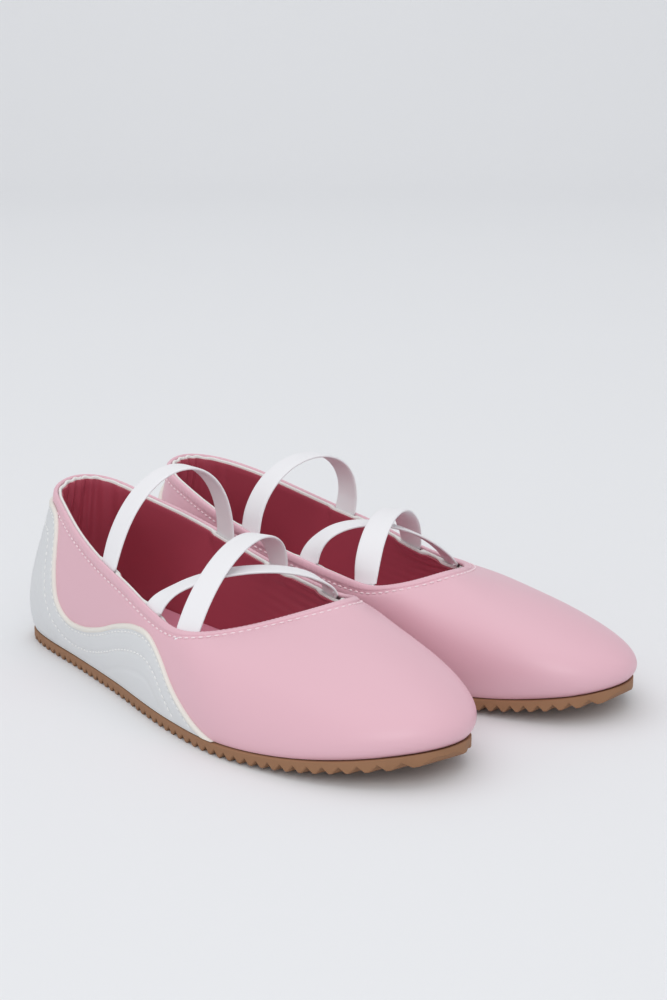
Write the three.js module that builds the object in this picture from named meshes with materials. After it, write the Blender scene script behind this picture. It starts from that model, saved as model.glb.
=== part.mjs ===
// A pair of slip-on ballet flats with crossed elastic straps.
//
// Each shoe is built as a shoemaker builds it: a ridged rubber outsole, an insole package,
// a leather upper lasted over a counter and a toe puff, a lining, a stitched-on side overlay,
// a bound topline and three elastic straps. Millimetres, +Z up, toes towards -Y.
//
// A shoe's own frame has x across (towards the inner side of the foot), y backwards and
// z up from the ground. Places along the shoe are given as stations: the distance forward
// from the back of the heel. The left shoe is the right shoe mirrored.

import * as THREE from 'three';

// Overall sizes.
const SOLE_LENGTH = 250;
const BALL_WIDTH = 83;
const TOPLINE_HEIGHT = 69;

// How the two shoes stand beside each other.
const SHOE_SPACING = 82.6;
const TOE_OUT_DEGREES = 6;

// Sole.
const OUTSOLE_THICKNESS = 4.5;
const RIDGE_DEPTH = 2.4;
const RIDGE_COUNT = 48;
const RIDGE_LAND = 0.2;
const TOE_SPRING = 9;
const TOE_SPRING_START = 165;

// Insole package.
const LASTING_MARGIN = 9;
const INSOLE_BOARD_THICKNESS = 1.5;
const CUSHION_THICKNESS = 2.5;
const SOCK_THICKNESS = 1.2;
const INSOLE_CLEARANCE = 0.9;

// Upper layers.
const CLEARANCE = 0.35;
const UPPER_THICKNESS = 1.2;
const STRAP_THICKNESS = 1.2;
const STIFFENER_THICKNESS = 0.9;
const LINING_THICKNESS = 0.8;
const OVERLAY_THICKNESS = 1.1;
const OVERLAY_CLEARANCE = 0.8;
const FEATHER_SETBACK = 1.5;
const COUNTER_HEIGHT = 36;

// Edges.
const BINDING_WIDTH = 3.2;
const BINDING_PROUD = 0.25;
const LINING_EDGE_WIDTH = 1.8;
const LINING_EDGE_THICKNESS = 1.1;
const EDGE_CLEARANCE = 0.6;
const PIPING_WIDTH = 2.2;
const PIPING_PROUD = 0.35;

// Straps.
const STRAP_WIDTH = 10.5;
const STRAP_SEAT = 2;
const TAB_PROUD = 1.4;
const TAB_THICKNESS = 1;
const ANCHOR_DEPTH = 12;
const INSTEP_APEX = 86;
const UNDER_STRAP_APEX = 54.5;
const STRAP_GAP = 5.8;
const OVER_STRAP_APEX = UNDER_STRAP_APEX + STRAP_THICKNESS + STRAP_GAP;
const STRAP_STATIONS = {
  instep: { outer: 84, inner: 81 },
  front: { outer: 142, inner: 115 },
  rear: { outer: 119.5, inner: 147 },
};

// How far each strap's curve leans across the foot as it leaves its outer and inner seats.
const STRAP_LEANS = {
  instep: [8, 0],
  over: [8, 2],
  under: [13, 3],
};

// The last that the outlines below are drawn for.
const LAST_LENGTH = 250;
const LAST_BALL_WIDTH = 83;
const LAST_TOPLINE_HEIGHT = 69;

// How finely the curved surfaces are divided.
const COLUMNS_PER_RIB = 2;
const UPPER_ROWS = 7;
const TOE_PUFF_ROWS = 4;
const LINING_ROWS = 5;
const STRAP_STEPS = 12;
const ARC_SAMPLES = 660;
const NEAR = 1e-3;

// Turns the ribs of a wall that leans out or in towards the straight-out direction.
const REACH_BIAS = 12;

// Depths below the outer face of the upper, from the outside in.
const UPPER_INNER = UPPER_THICKNESS;
const MIDDLE_OUTER = UPPER_INNER + CLEARANCE;
const MIDDLE_INNER = MIDDLE_OUTER + STRAP_THICKNESS;
const LINING_OUTER = MIDDLE_INNER + CLEARANCE;
const LINING_INNER = LINING_OUTER + LINING_THICKNESS;

// Levels above the ground, where the sole lies flat.
const FEATHER_LEVEL = OUTSOLE_THICKNESS + CLEARANCE;
const BOARD_LEVEL = FEATHER_LEVEL + UPPER_THICKNESS + CLEARANCE;
const CUSHION_LEVEL = BOARD_LEVEL + INSOLE_BOARD_THICKNESS + CLEARANCE;
const SOCK_LEVEL = CUSHION_LEVEL + CUSHION_THICKNESS + CLEARANCE;

const SOFT_PINK = 0xe2b4c1;
const DEEP_PINK = 0xb4485a;
const WHITE = 0xd9dcde;
const CREAM = 0xe6e1d8;
const FINISHES = {
  outsole: { color: 0x8a5f40, roughness: 0.7 },
  filler: { color: 0x8c8a86, roughness: 0.95 },
  board: { color: 0xb8a182, roughness: 0.95 },
  foam: { color: 0xd8d2c4, roughness: 1.0 },
  sock: { color: 0xe59aae, roughness: 0.75 },
  leather: { color: SOFT_PINK, roughness: 0.55 },
  lining: { color: DEEP_PINK, roughness: 0.7 },
  stiffener: { color: 0xcfc4b4, roughness: 0.9 },
  overlay: { color: WHITE, roughness: 0.5 },
  piping: { color: CREAM, roughness: 0.5 },
  elastic: { color: 0xf0eff2, roughness: 0.85 },
  tape: { color: 0xe8e6e2, roughness: 0.95 },
};

// ---------------------------------------------------------------------------
// The last: a closed row of ribs round the shoe, each a curve from the sole's
// edge up to the topline.

const stretchAcross = BALL_WIDTH / LAST_BALL_WIDTH;
const stretchAlong = SOLE_LENGTH / LAST_LENGTH;
const stretchUp = TOPLINE_HEIGHT / LAST_TOPLINE_HEIGHT;

// sole: [across, station] on the sole's edge; top: [across, station, height] on the topline;
// low: how far the rib leans out and rises as it leaves the sole;
// high: how far it reaches towards the sole's edge, and drops, from the topline.
function rib(sole, top, low, high) {
  return { sole, top, low, high };
}

const RIBS = [
  rib([1, 0], [1, 12, 69], [4.5, 18], [3.5, 21.5]),
  rib([-17, 4], [-13, 17.5, 67.3], [6, 18], [4.5, 21]),
  rib([-25.5, 22], [-20.5, 32.5, 63.8], [7.5, 17.5], [4, 19]),
  rib([-29, 50], [-26.5, 54.5, 57.3], [5, 15], [3, 16.5]),
  rib([-32, 76], [-30.3, 79, 50.5], [3, 14], [2, 15]),
  rib([-35.5, 101], [-32, 99.5, 45.8], [2, 13], [2, 13.5]),
  rib([-40, 127], [-33, 118, 40.5], [1.5, 12.5], [3, 10]),
  rib([-43, 152], [-33, 133.5, 37.5], [2, 13.5], [6, 6]),
  rib([-43.5, 176], [-30, 145, 37], [2.5, 14], [13, 1.5]),
  rib([-40, 197], [-21, 155, 38.8], [3, 13], [20, 0.5]),
  rib([-32.5, 219], [-10, 163, 41.6], [6, 12], [27, 2]),
  rib([-19, 238], [0, 169, 44.4], [11, 13], [35, 5]),
  rib([4, 249.8], [10, 173.5, 46.8], [16, 14], [41, 8]),
  rib([22.5, 243], [19, 174, 47.6], [14, 14.5], [38, 10]),
  rib([33.5, 224], [28, 168, 45.4], [9, 14.5], [29, 8]),
  rib([39, 199], [34.2, 159.5, 43], [4, 14], [18, 5]),
  rib([39.5, 175], [36, 151, 41.6], [2.5, 13.5], [10, 5.5]),
  rib([36, 150], [36, 140.5, 42], [2.5, 13.5], [4, 8]),
  rib([31.2, 126], [34.8, 122, 44], [3.5, 13.5], [2.5, 10.5]),
  rib([27.5, 102], [33.5, 102, 47], [4, 14], [2.5, 13]),
  rib([26.6, 76], [32, 79.5, 51.5], [4, 15], [2.5, 15]),
  rib([27, 50], [28, 55.5, 57], [3.5, 16], [2.5, 17]),
  rib([26.5, 22], [21, 31.5, 62.7], [3.5, 17], [3, 20]),
  rib([17.5, 4], [13.7, 16.5, 67], [4, 18], [3, 22]),
];

function place(across, station, height) {
  const y = (LAST_LENGTH / 2 - station) * stretchAlong;
  return new THREE.Vector3(across * stretchAcross, y, height);
}

function stationOf(point) {
  return SOLE_LENGTH / 2 - point.y;
}

function toeRise(station) {
  const start = TOE_SPRING_START * stretchAlong;
  const run = THREE.MathUtils.clamp((station - start) / (SOLE_LENGTH - start), 0, 1);
  return TOE_SPRING * run * run;
}

function closedCurve(points) {
  return new THREE.CatmullRomCurve3(points, true, 'centripetal');
}

const soleEdge = closedCurve(RIBS.map(({ sole }) => place(sole[0], sole[1], 0)));

// Outward direction in plan from the sole's edge.
function outward(u) {
  const ahead = soleEdge.getPoint((u + NEAR) % 1);
  const behind = soleEdge.getPoint((u - NEAR + 1) % 1);
  const along = ahead.sub(behind).normalize();
  return new THREE.Vector3(along.y, -along.x, 0);
}

function makeControlCurves() {
  const rows = [[], [], [], []];
  RIBS.forEach(({ top, low, high }, index) => {
    const u = index / RIBS.length;
    const out = outward(u);
    const foot = soleEdge.getPoint(u).addScaledVector(out, -FEATHER_SETBACK);
    foot.z = FEATHER_LEVEL + toeRise(stationOf(foot));
    const head = place(top[0], top[1], top[2] * stretchUp);
    const reach = foot.clone().sub(head).addScaledVector(out, REACH_BIAS).setZ(0).normalize();
    const lower = foot.clone().addScaledVector(out, low[0]);
    lower.z += low[1] * stretchUp;
    const upper = head.clone().addScaledVector(reach, high[0]);
    upper.z -= high[1] * stretchUp;
    [foot, lower, upper, head].forEach((point, row) => rows[row].push(point));
  });
  return rows.map(closedCurve);
}

const controlCurves = makeControlCurves();

// The outer face of the upper: u runs round the shoe from the back of the heel by the outer
// side to the toe and back, and t climbs from the sole to the topline.
function lastPoint(u, t) {
  const turn = ((u % 1) + 1) % 1;
  const [foot, lower, upper, head] = controlCurves.map((curve) => curve.getPoint(turn));
  const s = 1 - t;
  return foot.multiplyScalar(s * s * s)
    .addScaledVector(lower, 3 * s * s * t)
    .addScaledVector(upper, 3 * s * t * t)
    .addScaledVector(head, t * t * t);
}

function lastNormal(u, t) {
  const low = THREE.MathUtils.clamp(t - NEAR, 0, 1 - 2 * NEAR);
  const round = lastPoint(u + NEAR, t).sub(lastPoint(u - NEAR, t));
  const climb = lastPoint(u, low + 2 * NEAR).sub(lastPoint(u, low));
  return round.cross(climb).normalize();
}

// A point under the outer face, kept above the level of the layer that it stands on.
function wallPoint(u, t, depth, floor = FEATHER_LEVEL) {
  const point = lastPoint(u, t).addScaledVector(lastNormal(u, t), -depth);
  point.z = Math.max(point.z, floor + toeRise(stationOf(point)));
  return point;
}

// The t at a distance below the topline, measured along the rib.
function tBelowTopline(u, distance) {
  let t = 1;
  let left = distance;
  let previous = lastPoint(u, t);
  while (t > 0) {
    const next = lastPoint(u, t - 0.005);
    const step = next.distanceTo(previous);
    if (step >= left) {
      return t - 0.005 * left / step;
    }
    left -= step;
    t -= 0.005;
    previous = next;
  }
  return 0;
}

// The t at a distance past the topline, straight on along the rib.
function tAboveTopline(u, distance) {
  const step = 0.01;
  return 1 + step * distance / lastPoint(u, 1).distanceTo(lastPoint(u, 1 - step));
}

// The t at a height, for the walls, where the rib only climbs.
function tAtHeight(u, height) {
  let low = 0;
  let high = 1;
  for (let pass = 0; pass < 30; pass += 1) {
    const middle = (low + high) / 2;
    if (lastPoint(u, middle).z < height) {
      low = middle;
    } else {
      high = middle;
    }
  }
  return (low + high) / 2;
}

// Distances round the sole's edge, from the back of the heel.
const arcTable = soleEdge.getLengths(ARC_SAMPLES);

function arcAtU(u) {
  const sample = (((u % 1) + 1) % 1) * ARC_SAMPLES;
  const index = Math.min(Math.floor(sample), ARC_SAMPLES - 1);
  return THREE.MathUtils.lerp(arcTable[index], arcTable[index + 1], sample - index);
}

const soleGirth = arcTable[ARC_SAMPLES];

function uAtArc(distance) {
  const wrapped = ((distance % soleGirth) + soleGirth) % soleGirth;
  let index = arcTable.findIndex((value) => value > wrapped);
  index = index < 1 ? ARC_SAMPLES : index;
  const span = arcTable[index] - arcTable[index - 1];
  return (index - 1 + (wrapped - arcTable[index - 1]) / span) / ARC_SAMPLES;
}

// The u whose rib stands at a station, on one side of the shoe, at the sole (t = 0)
// or at the topline (t = 1).
function uAtStation(station, side, t) {
  const wanted = station * stretchAlong;
  let low = 0;
  let high = 0.5;
  for (let pass = 0; pass < 30; pass += 1) {
    const middle = (low + high) / 2;
    const point = lastPoint(side === 'outer' ? middle : 1 - middle, t);
    if (stationOf(point) < wanted) {
      low = middle;
    } else {
      high = middle;
    }
  }
  return side === 'outer' ? low : 1 - low;
}

// ---------------------------------------------------------------------------
// Solids.

function buildGeometry(points, triangles) {
  const geometry = new THREE.BufferGeometry();
  const coordinates = points.flatMap((point) => point.toArray());
  geometry.setAttribute('position', new THREE.Float32BufferAttribute(coordinates, 3));
  const volume = triangles.reduce((sum, [a, b, c]) => {
    return sum + points[a].dot(points[b].clone().cross(points[c]));
  }, 0);
  const facing = volume < 0 ? triangles.map(([a, b, c]) => [a, c, b]) : triangles;
  geometry.setIndex(facing.flat());
  geometry.computeVertexNormals();
  return geometry;
}

// A skin through closed sections of equal size. Each section runs along one rail and back
// along the other, so that an open loft can be capped between its rails.
function loft(sections, closed) {
  const size = sections[0].length;
  const triangles = [];
  const spans = closed ? sections.length : sections.length - 1;
  for (let i = 0; i < spans; i += 1) {
    const here = i * size;
    const there = ((i + 1) % sections.length) * size;
    for (let j = 0; j < size; j += 1) {
      const next = (j + 1) % size;
      triangles.push([here + j, there + j, there + next]);
      triangles.push([here + j, there + next, here + next]);
    }
  }
  if (!closed) {
    const last = (sections.length - 1) * size;
    for (let j = 0; j < size / 2 - 1; j += 1) {
      const mate = size - 1 - j;
      triangles.push([j, j + 1, mate - 1], [j, mate - 1, mate]);
      triangles.push([last + j, last + mate - 1, last + j + 1], [last + j, last + mate, last + mate - 1]);
    }
  }
  return buildGeometry(sections.flat(), triangles);
}

// A layer of the upper over some columns, between two depths. heights(u) gives the t of
// each row. A tucked layer turns under the foot by the lasting margin.
function layer({ columns, heights, outer, inner, floor = FEATHER_LEVEL, tuck = 0, closed = false }) {
  const sections = columns.map((u) => {
    const rows = heights(u);
    const footLevel = (depth) => floor + (tuck > 0 ? depth : 0);
    const face = (depth) => rows.map((t) => wallPoint(u, t, depth, footLevel(depth)));
    const outside = face(outer);
    const inside = face(inner);
    if (tuck > 0) {
      outside.unshift(tuckedPoint(u, tuck, floor));
      inside.unshift(tuckedPoint(u, tuck, floor + inner - outer));
    }
    return [...outside, ...inside.reverse()];
  });
  return loft(sections, closed);
}

function tuckedPoint(u, tuck, level) {
  const point = soleEdge.getPoint(((u % 1) + 1) % 1);
  point.addScaledVector(outward(((u % 1) + 1) % 1), -FEATHER_SETBACK - tuck);
  point.z = level + toeRise(stationOf(point));
  return point;
}

function evenRows(from, to, count) {
  return Array.from({ length: count + 1 }, (_, i) => THREE.MathUtils.lerp(from, to, i / count));
}

const ringColumns = evenRows(0, 1, RIBS.length * COLUMNS_PER_RIB).slice(0, -1);

// Columns from one u to another, with every ring column between them, so that stacked
// layers share their facets.
function columnsBetween(from, to) {
  const step = ringColumns[1];
  const margin = step / 4;
  const first = Math.ceil((from + margin) / step);
  const last = Math.floor((to - margin) / step);
  const between = [];
  for (let i = first; i <= last; i += 1) {
    between.push(i * step);
  }
  return [from, ...between, to];
}

// How far inside the sole's edge the lining's inner face stands, at a level over the sole.
function insideInset(u, level) {
  const depth = LINING_INNER + INSOLE_CLEARANCE;
  const edge = soleEdge.getPoint(u);
  const height = level + toeRise(stationOf(edge));
  let low = 0;
  let high = 1;
  for (let pass = 0; pass < 30; pass += 1) {
    const middle = (low + high) / 2;
    if (wallPoint(u, middle, depth, 0).z < height) {
      low = middle;
    } else {
      high = middle;
    }
  }
  return edge.sub(wallPoint(u, high, depth)).dot(outward(u));
}

// A flat piece inside the shoe that follows the sole's toe spring and fits inside the lining.
function fittedPlate(level, thickness) {
  const inset = (u) => Math.max(insideInset(u, level), insideInset(u, level + thickness));
  return plate(inset, level, thickness);
}

// A flat piece of one thickness, inset from the sole's edge and bent to its toe spring.
function plate(inset, level, thickness) {
  const count = ringColumns.length;
  const edge = ringColumns.map((u) => soleEdge.getPoint(u).addScaledVector(outward(u), -inset(u)));
  const raised = (height) => edge.map((p) => p.clone().setZ(height + toeRise(stationOf(p))));
  const points = [...raised(level), ...raised(level + thickness)];
  const triangles = [];
  for (let i = 0; i < count; i += 1) {
    const next = (i + 1) % count;
    triangles.push([i, count + next, next], [i, count + i, count + next]);
  }
  for (let i = 0; i < count / 2; i += 1) {
    const mate = (count - i) % count;
    const mateNext = count - i - 1;
    if (i > 0) {
      triangles.push([i, mateNext, mate], [count + i, count + mate, count + mateNext]);
    }
    if (i + 1 < count / 2) {
      triangles.push([i, i + 1, mateNext], [count + i, count + mateNext, count + i + 1]);
    }
  }
  return buildGeometry(points, triangles);
}

// Half-widths of the outsole at a station.
function soleSides(station) {
  const find = (side) => {
    let low = 0;
    let high = 0.5;
    for (let pass = 0; pass < 30; pass += 1) {
      const middle = (low + high) / 2;
      const point = soleEdge.getPoint(side === 'outer' ? middle : 1 - middle);
      if (stationOf(point) < station) {
        low = middle;
      } else {
        high = middle;
      }
    }
    return soleEdge.getPoint(side === 'outer' ? low : 1 - low).x;
  };
  return [find('outer'), find('inner')];
}

function outsole() {
  const endSetback = 0.5;
  const pitch = (SOLE_LENGTH - 2 * endSetback) / RIDGE_COUNT;
  const halfLand = pitch * RIDGE_LAND / 2;
  const stops = [[endSetback, RIDGE_DEPTH]];
  for (let ridge = 0; ridge < RIDGE_COUNT; ridge += 1) {
    const crest = endSetback + (ridge + 0.5) * pitch;
    stops.push([crest - halfLand, 0], [crest + halfLand, 0]);
    stops.push([endSetback + (ridge + 1) * pitch, RIDGE_DEPTH]);
  }
  const sections = stops.map(([station, lift]) => {
    const [outer, inner] = soleSides(station);
    const y = SOLE_LENGTH / 2 - station;
    const rise = toeRise(station);
    return [
      new THREE.Vector3(outer, y, rise + lift),
      new THREE.Vector3(inner, y, rise + lift),
      new THREE.Vector3(inner, y, rise + OUTSOLE_THICKNESS),
      new THREE.Vector3(outer, y, rise + OUTSOLE_THICKNESS),
    ];
  });
  return loft(sections, false);
}

// ---------------------------------------------------------------------------
// The overlay's upper edge, as stations and heights from the outer side's front end,
// round the heel, to the inner side's front end.

const OVERLAY_EDGE = [
  ['outer', 172, 8.5], ['outer', 162, 10], ['outer', 152, 17], ['outer', 143, 26.5],
  ['outer', 132, 32], ['outer', 117, 32.8], ['outer', 99, 29.8], ['outer', 81, 24],
  ['outer', 66, 20.6], ['outer', 53, 20.8], ['outer', 44, 26], ['outer', 39.5, 36],
  ['outer', 36.5, 46], ['outer', 30, 53], ['outer', 20, 56], ['outer', 7, 57],
  ['inner', 3, 55], ['inner', 10, 47], ['inner', 24, 34], ['inner', 42, 25.5],
  ['inner', 60, 21.5], ['inner', 78, 22.5], ['inner', 97, 27], ['inner', 114, 30],
  ['inner', 130, 28], ['inner', 142, 19.5], ['inner', 153, 11], ['inner', 165, 8.5],
];

function makeOverlayCurve() {
  const points = OVERLAY_EDGE.map(([side, station, height]) => {
    const arc = arcAtU(uAtStation(station, side, 0));
    return new THREE.Vector3(side === 'outer' ? arc : arc - soleGirth, height * stretchUp, 0);
  });
  return new THREE.CatmullRomCurve3(points, false, 'centripetal');
}

const overlayCurve = makeOverlayCurve();
const OVERLAY_STEPS = 72;

// Where the overlay's rows stand, as shares of its height. They lie closer where it bulges.
const OVERLAY_ROWS = [0, 0.18, 0.45, 1];

// A point of the wall from its distance round the sole and its height.
function wallAt(arc, height, depth) {
  const u = uAtArc(arc);
  return wallPoint(u, tAtHeight(u, height), depth);
}

function overlaySamples(inset) {
  return evenRows(0, 1, OVERLAY_STEPS).map((k) => {
    const point = overlayCurve.getPointAt(k);
    const along = overlayCurve.getTangentAt(k);
    return { arc: point.x - along.y * inset, height: point.y + along.x * inset };
  });
}

function heelOverlay() {
  const rows = OVERLAY_ROWS;
  const sections = overlaySamples(PIPING_WIDTH + CLEARANCE).map(({ arc, height }) => {
    const u = uAtArc(arc);
    const foot = lastPoint(u, 0).z;
    const face = (depth) => rows.map((k) => wallAt(arc, THREE.MathUtils.lerp(foot, height, k), depth));
    return [...face(-OVERLAY_CLEARANCE - OVERLAY_THICKNESS), ...face(-OVERLAY_CLEARANCE).reverse()];
  });
  return loft(sections, false);
}

function overlayPiping() {
  const low = overlaySamples(PIPING_WIDTH);
  const high = overlaySamples(0);
  const top = -OVERLAY_CLEARANCE - OVERLAY_THICKNESS - PIPING_PROUD;
  const sections = low.map((edge, i) => {
    const face = (depth) => [edge, high[i]].map(({ arc, height }) => wallAt(arc, height, depth));
    return [...face(top), ...face(-OVERLAY_CLEARANCE).reverse()];
  });
  return loft(sections, false);
}

// ---------------------------------------------------------------------------
// The upper and what is inside it.

const seamColumns = {
  outer: uAtStation(160, 'outer', 1),
  inner: uAtStation(153, 'inner', 1),
};
const SEAM_HALF_GAP = 0.0012;

function upperRows(u) {
  return evenRows(0, tBelowTopline(u, BINDING_WIDTH + EDGE_CLEARANCE), UPPER_ROWS);
}

function upper() {
  return layer({
    columns: ringColumns,
    heights: upperRows,
    outer: 0,
    inner: UPPER_INNER,
    tuck: LASTING_MARGIN,
    closed: true,
  });
}

function lining(from, to) {
  return layer({
    columns: columnsBetween(from, to),
    heights: (u) => evenRows(0, tBelowTopline(u, LINING_EDGE_WIDTH + EDGE_CLEARANCE), LINING_ROWS),
    outer: LINING_OUTER,
    inner: LINING_INNER,
    floor: BOARD_LEVEL,
  });
}

function vampLining() {
  return lining(seamColumns.outer + SEAM_HALF_GAP, seamColumns.inner - SEAM_HALF_GAP);
}

function quarterLining() {
  return lining(seamColumns.inner + SEAM_HALF_GAP - 1, seamColumns.outer - SEAM_HALF_GAP);
}

function edgeRing(width, outer, inner) {
  return layer({
    columns: ringColumns,
    heights: (u) => [tBelowTopline(u, width), 1],
    outer,
    inner,
    closed: true,
  });
}

function heelCounter() {
  const end = uAtStation(62, 'outer', 0);
  return layer({
    columns: columnsBetween(-end, end),
    heights: (u) => {
      const fade = 1 - 0.45 * (Math.abs(u) / end) ** 2;
      return evenRows(0, tAtHeight(u, FEATHER_LEVEL + COUNTER_HEIGHT * fade), 3);
    },
    outer: MIDDLE_OUTER,
    inner: MIDDLE_OUTER + STIFFENER_THICKNESS,
    floor: BOARD_LEVEL,
  });
}

function toePuff() {
  const from = uAtStation(205, 'outer', 0);
  const to = uAtStation(208, 'inner', 0);
  return layer({
    columns: columnsBetween(from, to),
    heights: (u) => upperRows(u).slice(0, TOE_PUFF_ROWS + 1),
    outer: MIDDLE_OUTER,
    inner: MIDDLE_OUTER + STIFFENER_THICKNESS,
    floor: BOARD_LEVEL,
  });
}

function collarElastic() {
  const end = uAtStation(26, 'outer', 1);
  const low = BINDING_WIDTH + 5;
  return layer({
    columns: columnsBetween(-end, end),
    heights: (u) => [tBelowTopline(u, low), tBelowTopline(u, 1)],
    outer: MIDDLE_OUTER,
    inner: MIDDLE_OUTER + STIFFENER_THICKNESS,
  });
}

// ---------------------------------------------------------------------------
// Straps. Each is a ribbon arched between two seats on the topline. Its rounded ends are
// centred on the line that it swings about, so that it turns clear of the topline.

function seatOnTopline(station, side) {
  const u = uAtStation(station, side, 1);
  return { u, point: wallPoint(u, 1, (MIDDLE_OUTER + MIDDLE_INNER) / 2) };
}

// A tab of elastic sewn between the upper and the lining, under one end of a strap.
function strapAnchor(station, side) {
  const { u } = seatOnTopline(station, side);
  const half = STRAP_WIDTH / 2 / toplineSpeed(u);
  return layer({
    columns: columnsBetween(u - half, u + half),
    heights: (column) => [
      tBelowTopline(column, ANCHOR_DEPTH),
      tBelowTopline(column, ANCHOR_DEPTH / 2),
      tAboveTopline(column, TAB_PROUD),
    ],
    outer: MIDDLE_OUTER,
    inner: MIDDLE_OUTER + TAB_THICKNESS,
  });
}

function toplineSpeed(u) {
  return lastPoint(u + NEAR, 1).distanceTo(lastPoint(u - NEAR, 1)) / (2 * NEAR);
}

function strap({ outer, inner }, apex, [leanOuter, leanInner]) {
  const lift = STRAP_WIDTH / 2 + STRAP_SEAT;
  const start = seatOnTopline(outer, 'outer').point.setZ(seatOnTopline(outer, 'outer').point.z + lift);
  const end = seatOnTopline(inner, 'inner').point.setZ(seatOnTopline(inner, 'inner').point.z + lift);
  const rise = new THREE.Vector3(0, 0, (apex - (start.z + end.z) / 2) / 0.75);
  const across = end.clone().sub(start).setZ(0).normalize();
  const leaving = start.clone().add(rise).addScaledVector(across, leanOuter);
  const arriving = end.clone().add(rise).addScaledVector(across, -leanInner);
  const path = new THREE.CubicBezierCurve3(start, leaving, arriving, end);
  const sideways = new THREE.Vector3(-across.y, across.x, 0);
  const radius = STRAP_WIDTH / 2;
  const sectionAt = (point, tangent, half) => {
    const thick = tangent.clone().cross(sideways).normalize().multiplyScalar(STRAP_THICKNESS / 2);
    const wide = sideways.clone().multiplyScalar(half);
    return [
      point.clone().sub(wide).add(thick),
      point.clone().add(wide).add(thick),
      point.clone().add(wide).sub(thick),
      point.clone().sub(wide).sub(thick),
    ];
  };
  const roundedEnd = (anchor, tangent) => [80, 55, 28].map((degrees) => {
    const angle = THREE.MathUtils.degToRad(degrees);
    const point = anchor.clone().addScaledVector(tangent, -radius * Math.sin(angle));
    return sectionAt(point, tangent, radius * Math.cos(angle));
  });
  const up = path.getTangent(0);
  const down = path.getTangent(1);
  const bodySection = (k) => sectionAt(path.getPoint(k), path.getTangent(k), radius);
  const body = evenRows(0, 1, STRAP_STEPS).map(bodySection);
  const last = roundedEnd(end, down.clone().negate()).reverse().map(([a, b, c, d]) => [d, c, b, a]);
  return loft([...roundedEnd(start, up), ...body, ...last], false);
}

// ---------------------------------------------------------------------------
// One shoe, and the pair.

function part(name, geometry, finish) {
  const mesh = new THREE.Mesh(geometry, new THREE.MeshStandardMaterial(FINISHES[finish]));
  mesh.name = name;
  return mesh;
}

// over names the crossed strap that lies on top: front or rear, by its outer end.
function shoe(prefix, over) {
  const group = new THREE.Group();
  const add = (name, geometry, finish) => group.add(part(`${prefix}_${name}`, geometry, finish));
  const fillerInset = () => FEATHER_SETBACK + LASTING_MARGIN + EDGE_CLEARANCE;
  add('outsole', outsole(), 'outsole');
  add('bottom_filler', plate(fillerInset, FEATHER_LEVEL, UPPER_THICKNESS), 'filler');
  add('insole_board', fittedPlate(BOARD_LEVEL, INSOLE_BOARD_THICKNESS), 'board');
  add('cushion_pad', fittedPlate(CUSHION_LEVEL, CUSHION_THICKNESS), 'foam');
  add('sock_lining', fittedPlate(SOCK_LEVEL, SOCK_THICKNESS), 'sock');
  add('upper', upper(), 'leather');
  add('heel_overlay', heelOverlay(), 'overlay');
  add('overlay_piping', overlayPiping(), 'piping');
  add('topline_binding', edgeRing(BINDING_WIDTH, -BINDING_PROUD, UPPER_INNER), 'leather');
  const edgeInner = LINING_OUTER + LINING_EDGE_THICKNESS;
  add('lining_edge', edgeRing(LINING_EDGE_WIDTH, LINING_OUTER, edgeInner), 'tape');
  add('vamp_lining', vampLining(), 'lining');
  add('quarter_lining', quarterLining(), 'lining');
  add('heel_counter', heelCounter(), 'stiffener');
  add('toe_puff', toePuff(), 'stiffener');
  add('collar_elastic', collarElastic(), 'elastic');
  Object.entries(STRAP_STATIONS).forEach(([strapName, stations]) => {
    add(`${strapName}_tab_outer`, strapAnchor(stations.outer, 'outer'), 'elastic');
    add(`${strapName}_tab_inner`, strapAnchor(stations.inner, 'inner'), 'elastic');
  });
  const under = over === 'front' ? 'rear' : 'front';
  add('instep_strap', strap(STRAP_STATIONS.instep, INSTEP_APEX, STRAP_LEANS.instep), 'elastic');
  add('over_strap', strap(STRAP_STATIONS[over], OVER_STRAP_APEX, STRAP_LEANS.over), 'elastic');
  add('under_strap', strap(STRAP_STATIONS[under], UNDER_STRAP_APEX, STRAP_LEANS.under), 'elastic');
  group.rotation.z = -THREE.MathUtils.degToRad(TOE_OUT_DEGREES);
  group.position.x = -SHOE_SPACING / 2;
  return group;
}

function mirrored(group) {
  const flip = new THREE.Group();
  flip.scale.x = -1;
  flip.add(group);
  return flip;
}

// The origin is the middle of the pair's footprint, on the ground.
function makePair() {
  const group = new THREE.Group();
  group.add(shoe('right', 'front'));
  group.add(mirrored(shoe('left', 'rear')));
  group.updateMatrixWorld(true);
  const box = new THREE.Box3().setFromObject(group, true);
  group.position.y = -(box.min.y + box.max.y) / 2;
  return group;
}

const pair = makePair();

export default pair;
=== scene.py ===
"""The looks of a pair of ballet flats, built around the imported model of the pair.

Places are worked out in millimetres in the right shoe's own frame: x across, towards the inner
side of the foot, y backwards, z up from the ground. A station is a distance forward from the
back of the heel. The left shoe is the right one mirrored.
"""

import math

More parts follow.
